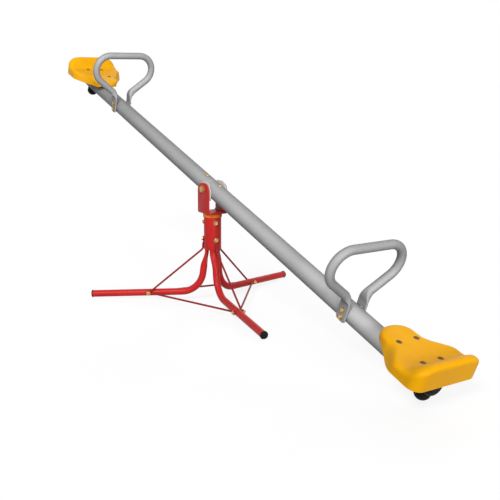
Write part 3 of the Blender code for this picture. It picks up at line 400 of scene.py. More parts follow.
def plainObject(name, mesh):
    obj = bpy.data.objects.new(name, mesh)
    bpy.context.scene.collection.objects.link(obj)
    return obj


def bakedMesh(obj):  # the evaluated object as a plain mesh; the maker object goes
    bpy.context.view_layer.update()
    mesh = bpy.data.meshes.new_from_object(obj.evaluated_get(bpy.context.evaluated_depsgraph_get()))
    bpy.data.objects.remove(obj)
    return mesh


def cut(mesh, cutters, operation="DIFFERENCE"):  # exact booleans, applied
    obj = plainObject("blank", mesh)
    shapes = [plainObject("cutter", shape) for shape in cutters]
    for shape in shapes:
        step = obj.modifiers.new("cut", "BOOLEAN")
        step.object, step.operation, step.solver = shape, operation, "EXACT"
    result = bakedMesh(obj)
    for shape in shapes:
        bpy.data.objects.remove(shape)
    return result


def eased(mesh, width, segments=3, angle=40.0):  # small rounding on sharp edges
    obj = plainObject("blank", mesh)
    step = obj.modifiers.new("ease", "BEVEL")
    step.width, step.segments = width, segments
    step.limit_method, step.angle_limit = "ANGLE", radians(angle)
    return bakedMesh(obj)


def addPiece(name, mesh, finish, body, replaced, place=None, sharp=38.0):
    if place is not None:
        mesh.transform(place)
    mesh.materials.clear()
    mesh.materials.append(finish)
    for face in mesh.polygons:
        face.material_index = 0
    mesh.shade_smooth()
    mesh.set_sharp_from_angle(angle=radians(sharp))
    piece = plainObject(name, mesh)
    mesh.name = name
    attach(piece, body)
    if replaced:
        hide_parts(*replaced)


def ease01(share):
    share = min(max(share, 0.0), 1.0)
    return share * share * (3 - 2 * share)


def smooth01(share):  # as ease01, with an even start and end of its curvature
    share = min(max(share, 0.0), 1.0)
    return share ** 3 * (10 - 15 * share + 6 * share * share)


class Walk:  # path in a plane, (u, v, heading, distance)
    def __init__(self, u, v, heading):
        self.marks = [(u, v, heading, 0.0)]

    def straight(self, length, cuts=1):
        for _ in range(cuts):
            u, v, heading, gone = self.marks[-1]
            step = length / cuts
            self.marks.append((u + step * cos(heading), v + step * sin(heading), heading, gone + step))
        return self

    def arc(self, radius, turn, step=radians(4.0)):
        count = max(3, round(abs(turn) / step))
        bend = turn / count
        for _ in range(count):
            u, v, heading, gone = self.marks[-1]
            chord, middle = 2 * radius * sin(abs(bend) / 2), heading + bend / 2
            self.marks.append((u + chord * cos(middle), v + chord * sin(middle), heading + bend,
                               gone + radius * abs(bend)))
        return self


def pressedSection(radius, thickness, width, share, sides=48, squeeze=1.2):  # round tube, pressed flat
    deep = radius + (thickness / 2 - radius) * share
    wide = radius + (width / 2 - radius) * share
    return [(deep * clipped(cos(turn) * (1 + squeeze * share)), wide * sin(turn)) for turn in turnsOf(sides)]


# beam
beamSet = {"radius": 0.024, "wall": 0.002, "reach": 0.920, "sides": 112, "seam": (0.0008, 0.0009),
           "edgeRound": 0.0005, "bushRadius": 0.0083, "pivotRing": 0.012, "drillSides": 48}
capSet = {"flange": 0.015, "spigot": 0.022, "dome": ((0.35, 1.0), (0.75, 0.86), (1.0, 0.55)),
          "edgeRound": 0.0040, "roundSteps": 6, "sides": 96}
bumperSet = {"at": 0.904, "radius": 0.0185, "depth": 0.030, "neck": 0.94, "saddleEdge": (0.001, 0.0008),
             "groove": ((0.80, 0.0), (0.83, 0.0009), (0.87, 0.0009), (0.90, 0.0), (0.94, 0.0)),
             "flareAt": 0.98, "domeSteps": 18, "sides": 64}


def beamWall():  # tube profile, closed on itself at a seam in its inner end
    beam, start = beamSet, gap / 2
    outer, bore = beam["radius"], beam["radius"] - beam["wall"]
    ring, end = beam["pivotRing"], beam["reach"]  # the ring keeps the faces that the pivot hole cuts short
    seamStart, seamEnd = beam["seam"]
    wall = [(start, outer - seamStart), (start, outer), (ring, outer), (end, outer), (end, bore),
            (ring, bore), (start, bore), (start, outer - seamEnd)]
    return softened(wall, beam["edgeRound"])


def capProfile():
    cap, end, radius = capSet, beamSet["reach"], beamSet["radius"]
    plug = spigot(end, cap["spigot"], radius - beamSet["wall"]) + [(end + gap, radius)]
    plug += [(end + cap["flange"] * along, radius * share) for along, share in cap["dome"]]
    plug.append((end + cap["flange"], 0.0))
    return pointed(softened(plug, cap["edgeRound"], cap["roundSteps"]))


def makeBeam():
    beam = beamSet
    hole, through = beam["bushRadius"] + gap, 2 * beam["radius"]
    for name, sign in beamEnds:
        drill = toMesh(latheX([(-through, hole), (through, hole)], beam["drillSides"]), "drill")
        drill.transform(crosswise)  # half of the pivot hole is in each tube
        tube = cut(toMesh(latheX(beamWall(), beam["sides"], loop=True), "tube"), [drill])
        addPiece(f"beamTube{name.title()}", tube, silverPaint, "beam", [f"beam_tube_{name}"],
                 endPlace(sign))
        cap = toMesh(latheX(capProfile(), capSet["sides"]), "cap")
        addPiece(f"endCap{name.title()}", cap, blackRubber, "beam", [f"end_cap_{name}"],
                 endPlace(sign))
        place = endPlace(sign) @ Matrix.Translation((bumperSet["at"], 0, 0))
        addPiece(f"bumper{name.title()}", toMesh(bumperRings(), "bumper"), blackRubber, "beam",
                 [f"bumper_{name}"], place)


def bumperRings():  # rubber foot: saddle top, straight neck with a groove, domed tread
    foot = bumperSet
    radius, depth = foot["radius"], foot["depth"]
    neck, seat = radius * foot["neck"], beamSet["radius"] + gap
    inset, drop = foot["saddleEdge"]

    def ring(reach, down):
        return [Vector((reach * cos(turn), reach * sin(turn), -down)) for turn in turnsOf(foot["sides"])]

    def saddle(reach, lower):
        level = ring(reach, 0)
        return [Vector((point.x, point.y, -sqrt(seat ** 2 - point.y ** 2) - lower)) for point in level]

    rings = [saddle(neck - inset, 0.0), saddle(neck, drop)]
    rings += [ring(neck - dent, depth * share) for share, dent in foot["groove"]]
    rings.append(ring(radius, depth * foot["flareAt"]))
    for k in range(foot["domeSteps"]):
        turn = pi / 2 * k / foot["domeSteps"]
        rings.append(ring(radius * cos(turn), depth + radius * sin(turn)))
    return skinRings(rings)


makeBeam()
print("beam made")


# handles
handleSet = {"at": 0.6505, "lean": radians(3.0), "radius": 0.011, "gripHeight": 0.175, "gripHalf": 0.052,
             "corner": 0.048, "slope": radians(38.0), "footBend": 0.030, "footLead": 0.0055,
             "footThickness": 0.0044, "footWidth": 0.033, "boltUp": 0.012, "boltDown": 0.008, "margin": 0.009,
             "footRound": 0.008, "edgeRound": 0.0005, "crease": 50.0}


def handleRings():
    handle = handleSet
    turn, bend = pi - handle["slope"], pi / 2 - handle["slope"]
    footCentre = beamSet["radius"] + gap + handle["footThickness"] / 2
    cornerEnd = handle["gripHalf"] + handle["corner"] * sin(turn)
    sloped = (cornerEnd - footCentre - handle["footBend"] * (1 - cos(bend))) / cos(handle["slope"])
    half = Walk(0.0, handle["gripHeight"], 0.0).straight(handle["gripHalf"], cuts=4)
    half.arc(handle["corner"], -turn).straight(sloped, cuts=3)
    pressFrom = half.marks[-1][3]
    half.arc(handle["footBend"], bend).straight(handle["footLead"], cuts=2)
    pressTo = half.marks[-1][3]
    foot = half.marks[-1][1] + handle["boltDown"] + handle["margin"]
    half.straight(foot - handle["footRound"], cuts=3).straight(handle["footRound"], cuts=10)
    end = half.marks[-1][3]
    rings = []
    for u, v, heading, gone in half.marks[1:]:
        share = ease01((gone - pressFrom) / (pressTo - pressFrom))
        normal = Vector((0, -sin(heading), cos(heading)))
        left = (end - gone) / handle["footRound"]  # corners of the foot's end are rounded off
        trim = handle["footRound"] * (1 - sqrt(max(0.0, 1 - (1 - min(left, 1.0)) ** 2)))
        narrow = 1 - trim / (handle["footWidth"] / 2)
        section = pressedSection(handle["radius"], handle["footThickness"], handle["footWidth"], share)
        rings.append([Vector((wide * narrow, u, v)) + normal * across for across, wide in section])
    mirrored = [[Vector((point.x, -point.y, point.z)) for point in ring] for ring in rings]
    return mirrored[::-1] + rings


def makeHandles():
    handle = handleSet
    for name, sign in beamEnds:
        bar = toMesh(skinRings(handleRings()), "handle")
        mesh = eased(bar, handle["edgeRound"], segments=2, angle=handle["crease"])
        lean = Matrix.Rotation(sign * handle["lean"], 4, "Y")
        place = beamPlace @ Matrix.Translation((sign * handle["at"], 0, 0)) @ lean
        # the handles take the darker copy of the silver paint, painted shade
        addPiece(f"handle{name.title()}", mesh, handleShadedSilver, "beam", [f"handle_{name}"], place,
                 handle["crease"])


makeHandles()
print("handles made")


# seats
seatSet = {"noseAt": 0.762, "stations": 84, "rearPoints": 12,
           "rim": {"start": 0.0, "end": 0.192, "halves": (0.046, 0.089), "flare": (0.030, 0.122),
                   "rounds": (0.060, 0.026)},
           "edge": {"start": 0.005, "end": 0.195, "halves": (0.043, 0.088), "flare": (0.062, 0.128),
                    "rounds": (0.030, 0.026)},
           "top": 0.0465, "rimHeight": 0.023, "rimArch": 0.014, "edgeRound": 0.0125, "wall": 0.004,
           "lipRise": 0.032, "lipStart": 0.134, "lipCrest": 0.189, "lipFlat": 0.034, "lipHalf": 0.088,
           "lipFall": 0.75, "spine": (0.036, 0.128), "dish": 0.003, "skirtSteps": 6, "browSteps": 8,
           "panShares": (0.95, 0.89, 0.82, 0.74, 0.66, 0.57, 0.47, 0.36, 0.24, 0.12, 0.0), "merge": 0.00008,
           "crease": 45.0}
seatBoltSet = {"at": 0.827, "pitch": 0.074, "half": 0.0245, "shank": 0.003, "head": 0.0065, "height": 0.0017,
               "length": 0.0158}
spotSet = {"depth": 0.0012, "edge": 0.0005, "corner": (0.0004, 0.0006), "below": 0.0002, "above": 0.0008,
           "chamfer": 0.0005, "clear": 0.01, "sides": 40}  # counterbores that the bolt heads sit in


def seatOutline(shape, inset=0.0):  # nose, +y side, straight rear, -y side
    start, end = shape["start"] + inset, shape["end"] - inset
    halves = [half - inset for half in shape["halves"]]
    noseRound, rearRound = shape["rounds"]
    flareStart, flareEnd = shape["flare"]
    side = []
    for k in range(seatSet["stations"] + 1):
        x = start + (end - start) * (1 - cos(pi * k / seatSet["stations"])) / 2
        nose = max(0.0, 1 - (x - start) / noseRound)
        half = halves[0] * sqrt(1 - nose * nose)
        half += (halves[1] - halves[0]) * ease01((x - flareStart) / (flareEnd - flareStart))
        corner = max(0.0, rearRound - end + x)
        side.append(Vector((x, half - rearRound + sqrt(rearRound ** 2 - corner ** 2))))
    rear, last = seatSet["rearPoints"], side[-1].y
    side += [Vector((end, last * (1 - k / rear))) for k in range(1, rear + 1)]
    return side + [Vector((point.x, -point.y)) for point in side[-2:0:-1]]


def seatHeight(x, y):  # pan with a slight dish and a high lip that rounds off at both ends
    seat = seatSet
    share = min(max((abs(y) - seat["lipFlat"]) / (seat["lipHalf"] - seat["lipFlat"]), 0.0), 1.0)
    side = 1 - seat["lipFall"] * (1 - sqrt(1 - share * share))
    lip = seat["lipRise"] * side * smooth01((x - seat["lipStart"]) / (seat["lipCrest"] - seat["lipStart"]))
    return seat["top"] + lip + seat["dish"] * (abs(y) / seat["edge"]["halves"][1]) ** 2


def seatRim(x, y):  # lower edge of the skirt, arched over the beam at the nose
    seat = seatSet
    if x > seat["rim"]["end"] / 2:
        return seat["rimHeight"]
    over = beamSet["radius"] + seat["wall"] + 2 * gap
    return over + (seat["rimHeight"] - over) * ease01((abs(y) - beamSet["radius"]) / seat["rimArch"])


def onPan(points):
    return [Vector((point.x, point.y, seatHeight(point.x, point.y))) for point in points]


def seatShell():
    seat = seatSet
    rim = [Vector((point.x, point.y, seatRim(point.x, point.y))) for point in seatOutline(seat["rim"])]
    corner = onPan(seatOutline(seat["edge"]))
    flat = seatOutline(seat["edge"], seat["edgeRound"])
    brow = onPan(flat)
    shoulder = [top.lerp(low, seat["edgeRound"] / (top - low).length) for low, top in zip(rim, corner)]
    rings = []
    for k in range(seat["skirtSteps"]):  # drafted skirt
        rings.append([low.lerp(top, k / seat["skirtSteps"]) for low, top in zip(rim, shoulder)])
    for k in range(seat["browSteps"] + 1):  # rounded brow
        rings.append([bendPoint(*points, k / seat["browSteps"]) for points in zip(shoulder, corner, brow)])
    for share in seat["panShares"]:  # pan, drawn in to its spine
        ring = []
        for point in flat:
            spine = Vector((min(max(point.x, seat["spine"][0]), seat["spine"][1]), 0))
            ring.append(spine + (point - spine) * share)
        rings.append(onPan(ring))
    return toMesh(skinRings(rings, capped=False), "seat", seat["merge"], upwards=True)


def seatBoltSpots():
    bolt = seatBoltSet
    rows = (bolt["at"], bolt["at"] + bolt["pitch"])
    return [(along, side * bolt["half"]) for along in rows for side in (-1, 1)]


def seatCounterbore(along, side):
    spot, top = spotSet, seatSet["top"]
    edge, floor = seatBoltSet["head"] + spot["edge"], top - spot["depth"]
    rise, inset = spot["corner"]
    cup = [(floor, edge - inset), (floor + rise, edge), (top - spot["below"], edge),
           (top + spot["above"], edge + spot["chamfer"]), (top + spot["clear"], edge + spot["chamfer"])]
    bore = toMesh(latheX(cup, spot["sides"]), "bore")
    bore.transform(Matrix.Translation((along - seatSet["noseAt"], side, 0)) @ upright)
    return bore


def makeSeats():
    seat = seatSet
    for name, sign in beamEnds:
        obj = plainObject("blank", seatShell())
        shell = obj.modifiers.new("wall", "SOLIDIFY")
        shell.thickness, shell.offset, shell.use_even_offset = seat["wall"], -1, False
        mesh = cut(bakedMesh(obj), [seatCounterbore(*spot) for spot in seatBoltSpots()])
        place = endPlace(sign) @ Matrix.Translation((seat["noseAt"], 0, 0))
        addPiece(f"seat{name.title()}", mesh, seatYellow, "beam", [f"seat_{name}"], place,
                 seat["crease"])


makeSeats()
print("seats made")


# column, legs and rods
columnSet = {"sleeveRadius": 0.025, "sleeveWall": 0.002, "sleeveLength": 0.094, "sleeveSeam": (0.0009, 0.001),
             "sleeveRound": 0.0007, "forkDrop": 0.071, "spindle": 0.011, "nutHeight": 0.012, "boltTop": 0.015,
             "boltPitch": 0.049, "sides": 96}
bushSet = {"flangeRadius": 0.0272, "flange": 0.0105, "skin": 0.006, "seam": (0.002, 0.0021),
           "groove": ((0.0042, 0.0), (0.0048, 0.0005), (0.0056, 0.0005), (0.0062, 0.0)), "edgeRound": 0.0009}
forkBase = pivot.z - columnSet["forkDrop"]
bushTop = forkBase - gap
sleeveTop = bushTop - bushSet["flange"] - gap
sleeveBase = sleeveTop - columnSet["sleeveLength"]
boltHigh = sleeveTop - columnSet["boltTop"]
boltLow = boltHigh - columnSet["boltPitch"]

legSet = {"first": radians(-129.7), "radius": 0.010, "reach": 0.362, "slope": radians(3.65),
          "lean": radians(8.0), "leanBend": 0.060, "bend": 0.068, "flatThickness": 0.0048, "flatWidth": 0.029,
          "topSet": 0.004, "flatBelow": 0.008, "roundOver": 0.050, "boltAt": 0.190, "wall": 0.0015,
          "crease": 50.0}
legCapSet = {"radius": 0.0112, "flange": 0.003, "spigot": 0.014, "flat": 0.0008, "edgeRound": 0.0016,
             "sides": 56}
legEndHeight = legCapSet["radius"] * cos(legSet["slope"]) - legCapSet["flat"]
flatCentre = columnSet["sleeveRadius"] - columnSet["sleeveWall"] - gap - legSet["flatThickness"] / 2


def legTurn(index):
    return Matrix.Rotation(legSet["first"] + index * 2 * pi / len(legNames), 4, "Z")


def legHeight(outwards):
    return legEndHeight + (legSet["reach"] - outwards) * tan(legSet["slope"])


def sleeveWall():
    column = columnSet
    outer, bore = column["sleeveRadius"], column["sleeveRadius"] - column["sleeveWall"]
    seamStart, seamEnd = column["sleeveSeam"]
    wall = [(sleeveBase + seamStart, bore), (sleeveBase, bore), (sleeveBase, outer), (sleeveTop, outer),
            (sleeveTop, bore), (sleeveBase + seamEnd, bore)]
    return softened(wall, column["sleeveRound"])


def bushWall():  # long bush with a grooved flange on the sleeve
    column, bush = columnSet, bushSet
    outer, inner, skin = column["spindle"] + gap + bush["skin"], column["spindle"] + gap, bush["flangeRadius"]
    low, base = sleeveTop + gap, sleeveBase + column["nutHeight"] + 2 * gap
    wall = [(base + bush["seam"][0], inner), (base, inner), (base, outer), (low, outer), (low, skin)]
    wall += [(low + along, skin - dent) for along, dent in bush["groove"]]
    wall += [(bushTop, skin), (bushTop, inner), (base + bush["seam"][1], inner)]
    return softened(wall, bush["edgeRound"])


def makeColumn():
    sides = columnSet["sides"]
    addPiece("columnSleeve", toMesh(latheX(sleeveWall(), sides, loop=True), "sleeve"), redPaint, "base",
             ["column_sleeve"], basePlace @ upright)
    addPiece("swivelBush", toMesh(latheX(bushWall(), sides, loop=True), "bush"), orangeBush, "base",
             ["swivel_bush"], basePlace @ upright)


def legWalk():
    leg = legSet
    top, flatEnd = sleeveTop - leg["topSet"], sleeveBase - leg["flatBelow"]
    walk = Walk(flatCentre, top, -pi / 2).straight(top - flatEnd, cuts=6)
    walk.arc(leg["leanBend"], leg["lean"], step=radians(1.0))
    u, v = walk.marks[-1][:2]
    bendOut = leg["bend"] * (cos(leg["lean"]) - sin(leg["slope"]))
    bendDrop = leg["bend"] * (cos(leg["slope"]) - sin(leg["lean"]))
    rise = (leg["reach"] - u - bendOut) * tan(leg["slope"])
    drop = (v - bendDrop - legEndHeight - rise) / (1 - tan(leg["lean"]) * tan(leg["slope"]))
    walk.straight(drop / cos(leg["lean"]), cuts=14)
    walk.arc(leg["bend"], pi / 2 - leg["lean"] - leg["slope"], step=radians(3.0))
    return walk.straight((leg["reach"] - walk.marks[-1][0]) / cos(leg["slope"]), cuts=3)


def legRings():  # flat top curved to the sleeve, opening into a round tube
    leg = legSet
    flatRun = sleeveTop - leg["topSet"] - sleeveBase + leg["flatBelow"]
    rings = []
    for u, v, heading, gone in legWalk().marks:
        share = 1 - ease01((gone - flatRun) / leg["roundOver"])
        normal = Vector((-sin(heading), 0, cos(heading)))
        ring = []
        for across, wide in pressedSection(leg["radius"], leg["flatThickness"], leg["flatWidth"], share):
            sag = share * (flatCentre - sqrt(max(flatCentre ** 2 - wide ** 2, 0.0)))
            ring.append(Vector((u, wide, v)) + normal * (across - sag))
        rings.append(ring)
    return rings


def makeLegs():
    leg, cap = legSet, legCapSet
    rings = legRings()
    plug = spigot(0.0, cap["spigot"], leg["radius"] - leg["wall"])
    plug += [(gap, cap["radius"]), (cap["flange"], cap["radius"]), (cap["flange"], 0.0)]
    plug = pointed(softened(plug, cap["edgeRound"]))
    tip = Matrix.Translation((leg["reach"], 0, legEndHeight)) @ Matrix.Rotation(leg["slope"], 4, "Y")
    for index, name in enumerate(legNames):
        place = basePlace @ legTurn(index)
        addPiece(f"leg{name.title()}", toMesh(skinRings(rings), "leg"), redPaint, "base", [f"leg_{name}"],
                 place, leg["crease"])
        mesh = toMesh(latheX(plug, cap["sides"]), "cap")
        mesh.transform(place @ tip)
        for vertex in mesh.vertices:  # worn flat where it lies on the ground
            vertex.co.z = max(vertex.co.z, 0.0)
        addPiece(f"legCap{name.title()}", mesh, blackRubber, "base", [f"leg_cap_{name}"])


rodSet = {"radius": 0.0028, "eyeRadius": 0.0070, "eyeThickness": 0.0024, "eyeCuts": 16, "eyeTip": 0.0006,
          "tipThin": 0.55, "squeeze": 1.9, "tongue": 0.0090, "neck": 0.016, "stayDown": 0.030, "bend": 0.012,
          "bendSteps": 8, "sides": 28, "crease": 50.0}
eyeOnLeg = legSet["radius"] + gap + rodSet["eyeThickness"] / 2  # a stay's eye, and a tie rod's second one
eyeOutside = eyeOnLeg + rodSet["eyeThickness"] + gap  # a tie rod's first eye, over the stay's
rodOffLeg = legSet["radius"] + gap + rodSet["radius"]


def rodEye(centre, way, wideFirst):  # flat sides lie along the width axis or across it
    rod = rodSet
    thin = rod["eyeThickness"] / 2
    marks = []
    for k in range(rod["eyeCuts"] * 3 // 4 + 1):  # tip, widest place, then in to the tongue
        turn = pi * k / rod["eyeCuts"]
        least = rod["eyeTip"] if turn <= pi / 2 else rod["radius"]
        deep = thin * (rod["tipThin"] if k == 0 else 1.0)
        marks.append((rod["eyeRadius"] * -cos(turn), max(rod["eyeRadius"] * sin(turn), least), deep))
    marks.append((rod["tongue"], rod["radius"], thin))
    sizes = [(wide, deep) if wideFirst else (deep, wide) for _, wide, deep in marks]
    return [(centre + way * mark[0], way, *size) for mark, size in zip(marks, sizes)]


def rodStations(start, startWay, path, end, endWay, flatStart, flatEnd):  # eye, bent round run, eye
    rod = rodSet
    stations = rodEye(start, startWay, flatStart)
    points = [start + startWay * rod["tongue"]] + path + [end + endWay * rod["tongue"]]
    for before, here, after in zip(points, points[1:], points[2:]):  # a soft bend at each corner of the run
        first, last = cornerEnds(before, here, after, rod["bend"])
        for k in range(rod["bendSteps"] + 1):
            share = k / rod["bendSteps"]
            way = (here - first) * (1 - share) + (last - here) * share
            point = bendPoint(first, here, last, share)
            stations.append((point, way.normalized(), rod["radius"], rod["radius"]))
    ending = rodEye(end, endWay, flatEnd)[::-1]
    return stations + [(point, -way, wide, deep) for point, way, wide, deep in ending]


def rodMesh(stations, widthAxis):
    rings = []
    for point, way, wide, deep in stations:
        first = (widthAxis - way * widthAxis.dot(way)).normalized()
        second = way.cross(first)
        squeeze = 1.0 if wide == deep else rodSet["squeeze"]  # pressed eyes have flat faces
        ring = []
        for turn in turnsOf(rodSet["sides"]):
            out, up = cos(turn), sin(turn)
            if wide >= deep:
                up = clipped(up * squeeze)
            else:
                out = clipped(out * squeeze)
            ring.append(point + first * (wide * out) + second * (deep * up))
        rings.append(ring)
    return toMesh(skinRings(rings), "rod")


def makeTieRods():
    rod, leg = rodSet, legSet
    height = legHeight(leg["boltAt"])
    for index, name in enumerate(legNames):
        here, there = legTurn(index), legTurn(index + 1)
        inwards, inwardsThere = here.to_3x3() @ -xAxis, there.to_3x3() @ -xAxis
        neck = here @ Vector((leg["boltAt"] - rod["neck"], eyeOutside, height))
        tail = there @ Vector((leg["boltAt"] - rod["neck"], -rodOffLeg, height))
        stations = rodStations(here @ Vector((leg["boltAt"], eyeOutside, height)), inwards, [neck, tail],
                               there @ Vector((leg["boltAt"], -eyeOnLeg, height)), inwardsThere, True, True)
        addPiece(f"tieRod{name.title()}", rodMesh(stations, zAxis), rodPaint, "base", [f"tie_rod_{name}"],
                 basePlace, rod["crease"])


def makeStays():
    rod, leg, skin = rodSet, legSet, columnSet["sleeveRadius"] + gap
    top = Vector((skin + rod["eyeThickness"] / 2, 0, boltLow))
    bottom = Vector((leg["boltAt"], eyeOnLeg, legHeight(leg["boltAt"])))
    neck = Vector((skin + rod["radius"], 0, boltLow - rod["stayDown"]))
    reach = bottom - neck
    arrive = Vector((reach.x, 0, reach.z)).normalized()
    path = [neck + zAxis * (rod["stayDown"] - rod["neck"]), neck, bottom - arrive * rod["neck"]]
    stations = rodStations(top, -zAxis, path, bottom, -arrive, True, False)
    for index, name in enumerate(legNames):
        addPiece(f"stay{name.title()}", rodMesh(stations, yAxis), rodPaint, "base", [f"stay_{name}"],
                 basePlace @ legTurn(index), rod["crease"])


makeColumn()
makeLegs()
makeTieRods()
makeStays()
print("column, legs and rods made")


# fork
forkSet = {"ear": 0.0045, "half": 0.030, "top": 0.017, "corner": 0.023, "floor": 0.005, "bend": 0.006,
           "bendSteps": 10, "hole": 0.0053, "holeSides": 48, "edgeRound": 0.0008, "crease": 45.0,
           "blankHalf": 0.2, "blankOver": 0.02, "mouthOver": 0.01, "mouthPast": 0.1, "earsBelow": 0.01}
spindleSet = {"thread": 0.75, "tipShare": 0.8, "tipLength": 0.0016, "below": 0.0002, "edgeRound": 0.0006,
              "sides": 64}
spacerSet = {"thickness": 0.0024, "margin": 0.0045, "drop": 0.030, "lower": 0.004, "edgeRound": 0.0004}
spacerIn = beamSet["radius"] + gap
earIn = spacerIn + spacerSet["thickness"] + gap
earOut = earIn + forkSet["ear"]


def earOutline(half, top, corner, bottom, lower=0.0):
    corners = [(-half, bottom), (half, bottom), (half, top), (-half, top)]
    return [Vector((u, 0, v + pivot.z)) for u, v in roundedOutline(corners, (lower, lower, corner, corner))]


def channel(side, bottom, top, reach, name):  # square-topped bar along x with two round lower edges
    bend = forkSet["bend"]
    corners = [(-side, bottom), (side, bottom), (side, top), (-side, top)]
    outline = roundedOutline(corners, (bend, bend, 0, 0), forkSet["bendSteps"])
    return toMesh(prism([Vector((0, u, v)) for u, v in outline], xAxis, -reach, reach), name)


def pivotHole():
    fork = forkSet
    profile = [(-fork["blankHalf"], fork["hole"]), (fork["blankHalf"], fork["hole"])]
    hole = toMesh(latheX(profile, fork["holeSides"]), "hole")
    hole.transform(Matrix.Translation((0, 0, pivot.z)) @ crosswise)
    return hole


def bracketMesh():  # bent strip, cut to the outline of its ears
    fork, reach = forkSet, forkSet["blankHalf"]
    sky = pivot.z + fork["top"] + fork["blankOver"]
    strip = channel(earOut, forkBase, sky, reach, "strip")
    mouth = channel(earIn, forkBase + fork["floor"], sky + fork["mouthOver"], reach + fork["mouthPast"],
                    "mouth")
    below = -columnSet["forkDrop"] - fork["earsBelow"]
    outline = earOutline(fork["half"], fork["top"], fork["corner"], below)
    ears = toMesh(prism(outline, yAxis, -reach, reach), "ears")
    bracket = cut(cut(strip, [mouth]), [ears], "INTERSECT")
    return eased(cut(bracket, [pivotHole()]), fork["edgeRound"], segments=3, angle=35.0)


def spindleMesh():  # stem with a smaller end that its nut goes on
    column, spindle = columnSet, spindleSet
    nutTop = sleeveBase + column["nutHeight"] + gap
    end, thread = nutTop - column["nutHeight"], column["spindle"] * spindle["thread"]
    stem = [(end, thread * spindle["tipShare"]), (end + spindle["tipLength"], thread), (nutTop + gap, thread),
            (nutTop + gap, column["spindle"]), (forkBase - spindle["below"], column["spindle"])]
    mesh = toMesh(latheX(softened(stem, spindle["edgeRound"]), spindle["sides"]), "spindle")
    mesh.transform(upright)
    return mesh


def makeFork():
    fork, spacer = forkSet, spacerSet
    bm = bmesh.new()
    bm.from_mesh(bracketMesh())
    bm.from_mesh(spindleMesh())
    joined = bpy.data.meshes.new("fork")
    bm.to_mesh(joined)
    bm.free()
    addPiece("forkBracket", joined, redPaint, "fork", ["fork_bracket"], basePlace,
             fork["crease"])
    ear = [fork[size] + spacer["margin"] for size in ("half", "top", "corner")]
    plate = earOutline(*ear, -spacer["drop"], spacer["lower"])
    for name, start in (("left", -spacerIn - spacer["thickness"]), ("right", spacerIn)):
        sheet = toMesh(prism(plate, yAxis, start, start + spacer["thickness"]), "spacer")
        sheet = eased(cut(sheet, [pivotHole()]), spacer["edgeRound"], segments=2, angle=35.0)
        addPiece(f"pivotSpacer{name.title()}", sheet, paleNylon, "fork", [f"pivot_spacer_{name}"],
                 basePlace, fork["crease"])


makeFork()
print("fork made")


# fasteners, drawn once along +z and set on points by a node tree
hexBolt6 = {"shank": 0.003, "corner": 0.00555, "height": 0.0039, "washer": 0.0064, "washerHeight": 0.0009}
hexBolt10 = {"shank": 0.005, "corner": 0.00925, "height": 0.0065, "washer": 0.0102, "washerHeight": 0.0012}
threadSet = {"pitch": 0.001, "depth": 0.00022, "runOut": 0.0002, "tip": 2.2}
headSet = {"dish": 0.0003, "dishShares": (0.55, 0.62), "crown": 0.94, "crownDrop": 0.0009, "crownSteps": 4,
           "root": 0.97, "rootRise": 0.0001, "rim": 0.0001, "rimRound": 0.0002}
nutSet = {"play": 0.0001, "hexShare": 0.72, "washerHeight": 0.0007, "root": 0.97,
          "rootRises": (0.00075, 0.0011), "crown": 0.93, "crownDrop": 0.0008, "crownSteps": 3,
          "collar": (0.80, 0.12), "collarRise": (0.35, 0.65), "collarSteps": 5, "mouth": 0.0003}
domeSet = {"socket": 0.48, "socketFloor": 0.30, "socketTop": 0.93, "lip": 1.05, "lipTop": 0.99, "skirt": 0.12,
           "sweep": pi / 2 * 0.62, "steps": 8, "edge": 0.0002, "under": 0.0003}


def hexReach(corner, turn):
    apothem = corner * cos(pi / 6)
    return apothem / cos((turn + pi / 6) % (pi / 3) - pi / 6)


def hexRing(corner, up, limit=1.0, sides=48):  # a limit short of the corner rounds it off
    ring = []
    for turn in turnsOf(sides):
        reach = min(hexReach(corner, turn), limit)
        ring.append(Vector((reach * cos(turn), reach * sin(turn), up)))
    return ring


def discRing(radius, up, sides=48):
    reach = max(radius, finePoint)
    return [Vector((reach * cos(turn), reach * sin(turn), up)) for turn in turnsOf(sides)]


def threadRings(radius, start, end):
    thread = threadSet
    rings, up, crest = [], start, True
    while up > end + thread["pitch"]:
        up -= thread["pitch"] / 2
        rings.append(discRing(radius if crest else radius - thread["depth"], up))
        crest = not crest
    rings.append(discRing(radius - thread["depth"], end + thread["runOut"]))
    rings.append(discRing(radius - thread["tip"] * thread["depth"], end))
    return rings


def hexBoltShape(size, length, threaded):  # head above z = 0, shank below, thread at its end
    head, height, under = headSet, size["height"], size["washerHeight"]
    corner, washer, shank = size["corner"], size["washer"], size["shank"]
    apothem = corner * cos(pi / 6)
    crown, rim = apothem * head["crown"], washer + head["rim"]
    dishFrom, dishTo = head["dishShares"]
    rings = [discRing(0.0, height - head["dish"]), discRing(apothem * dishFrom, height - head["dish"]),
             discRing(apothem * dishTo, height)]
    for k in range(head["crownSteps"] + 1):  # chamfered crown
        limit = crown + (corner - crown) * k / head["crownSteps"]
        rings.append(hexRing(corner, height - head["crownDrop"] * k / head["crownSteps"], limit))
    rings += [hexRing(corner, under + head["rootRise"]), discRing(apothem * head["root"], under),
              discRing(washer, under), discRing(rim, under - head["rimRound"]),
              discRing(rim, head["rimRound"]), discRing(washer, 0), discRing(shank, 0),
              discRing(shank, threaded - length)]
    return toMesh(skinRings(rings + threadRings(shank, threaded - length, -length)), "bolt")


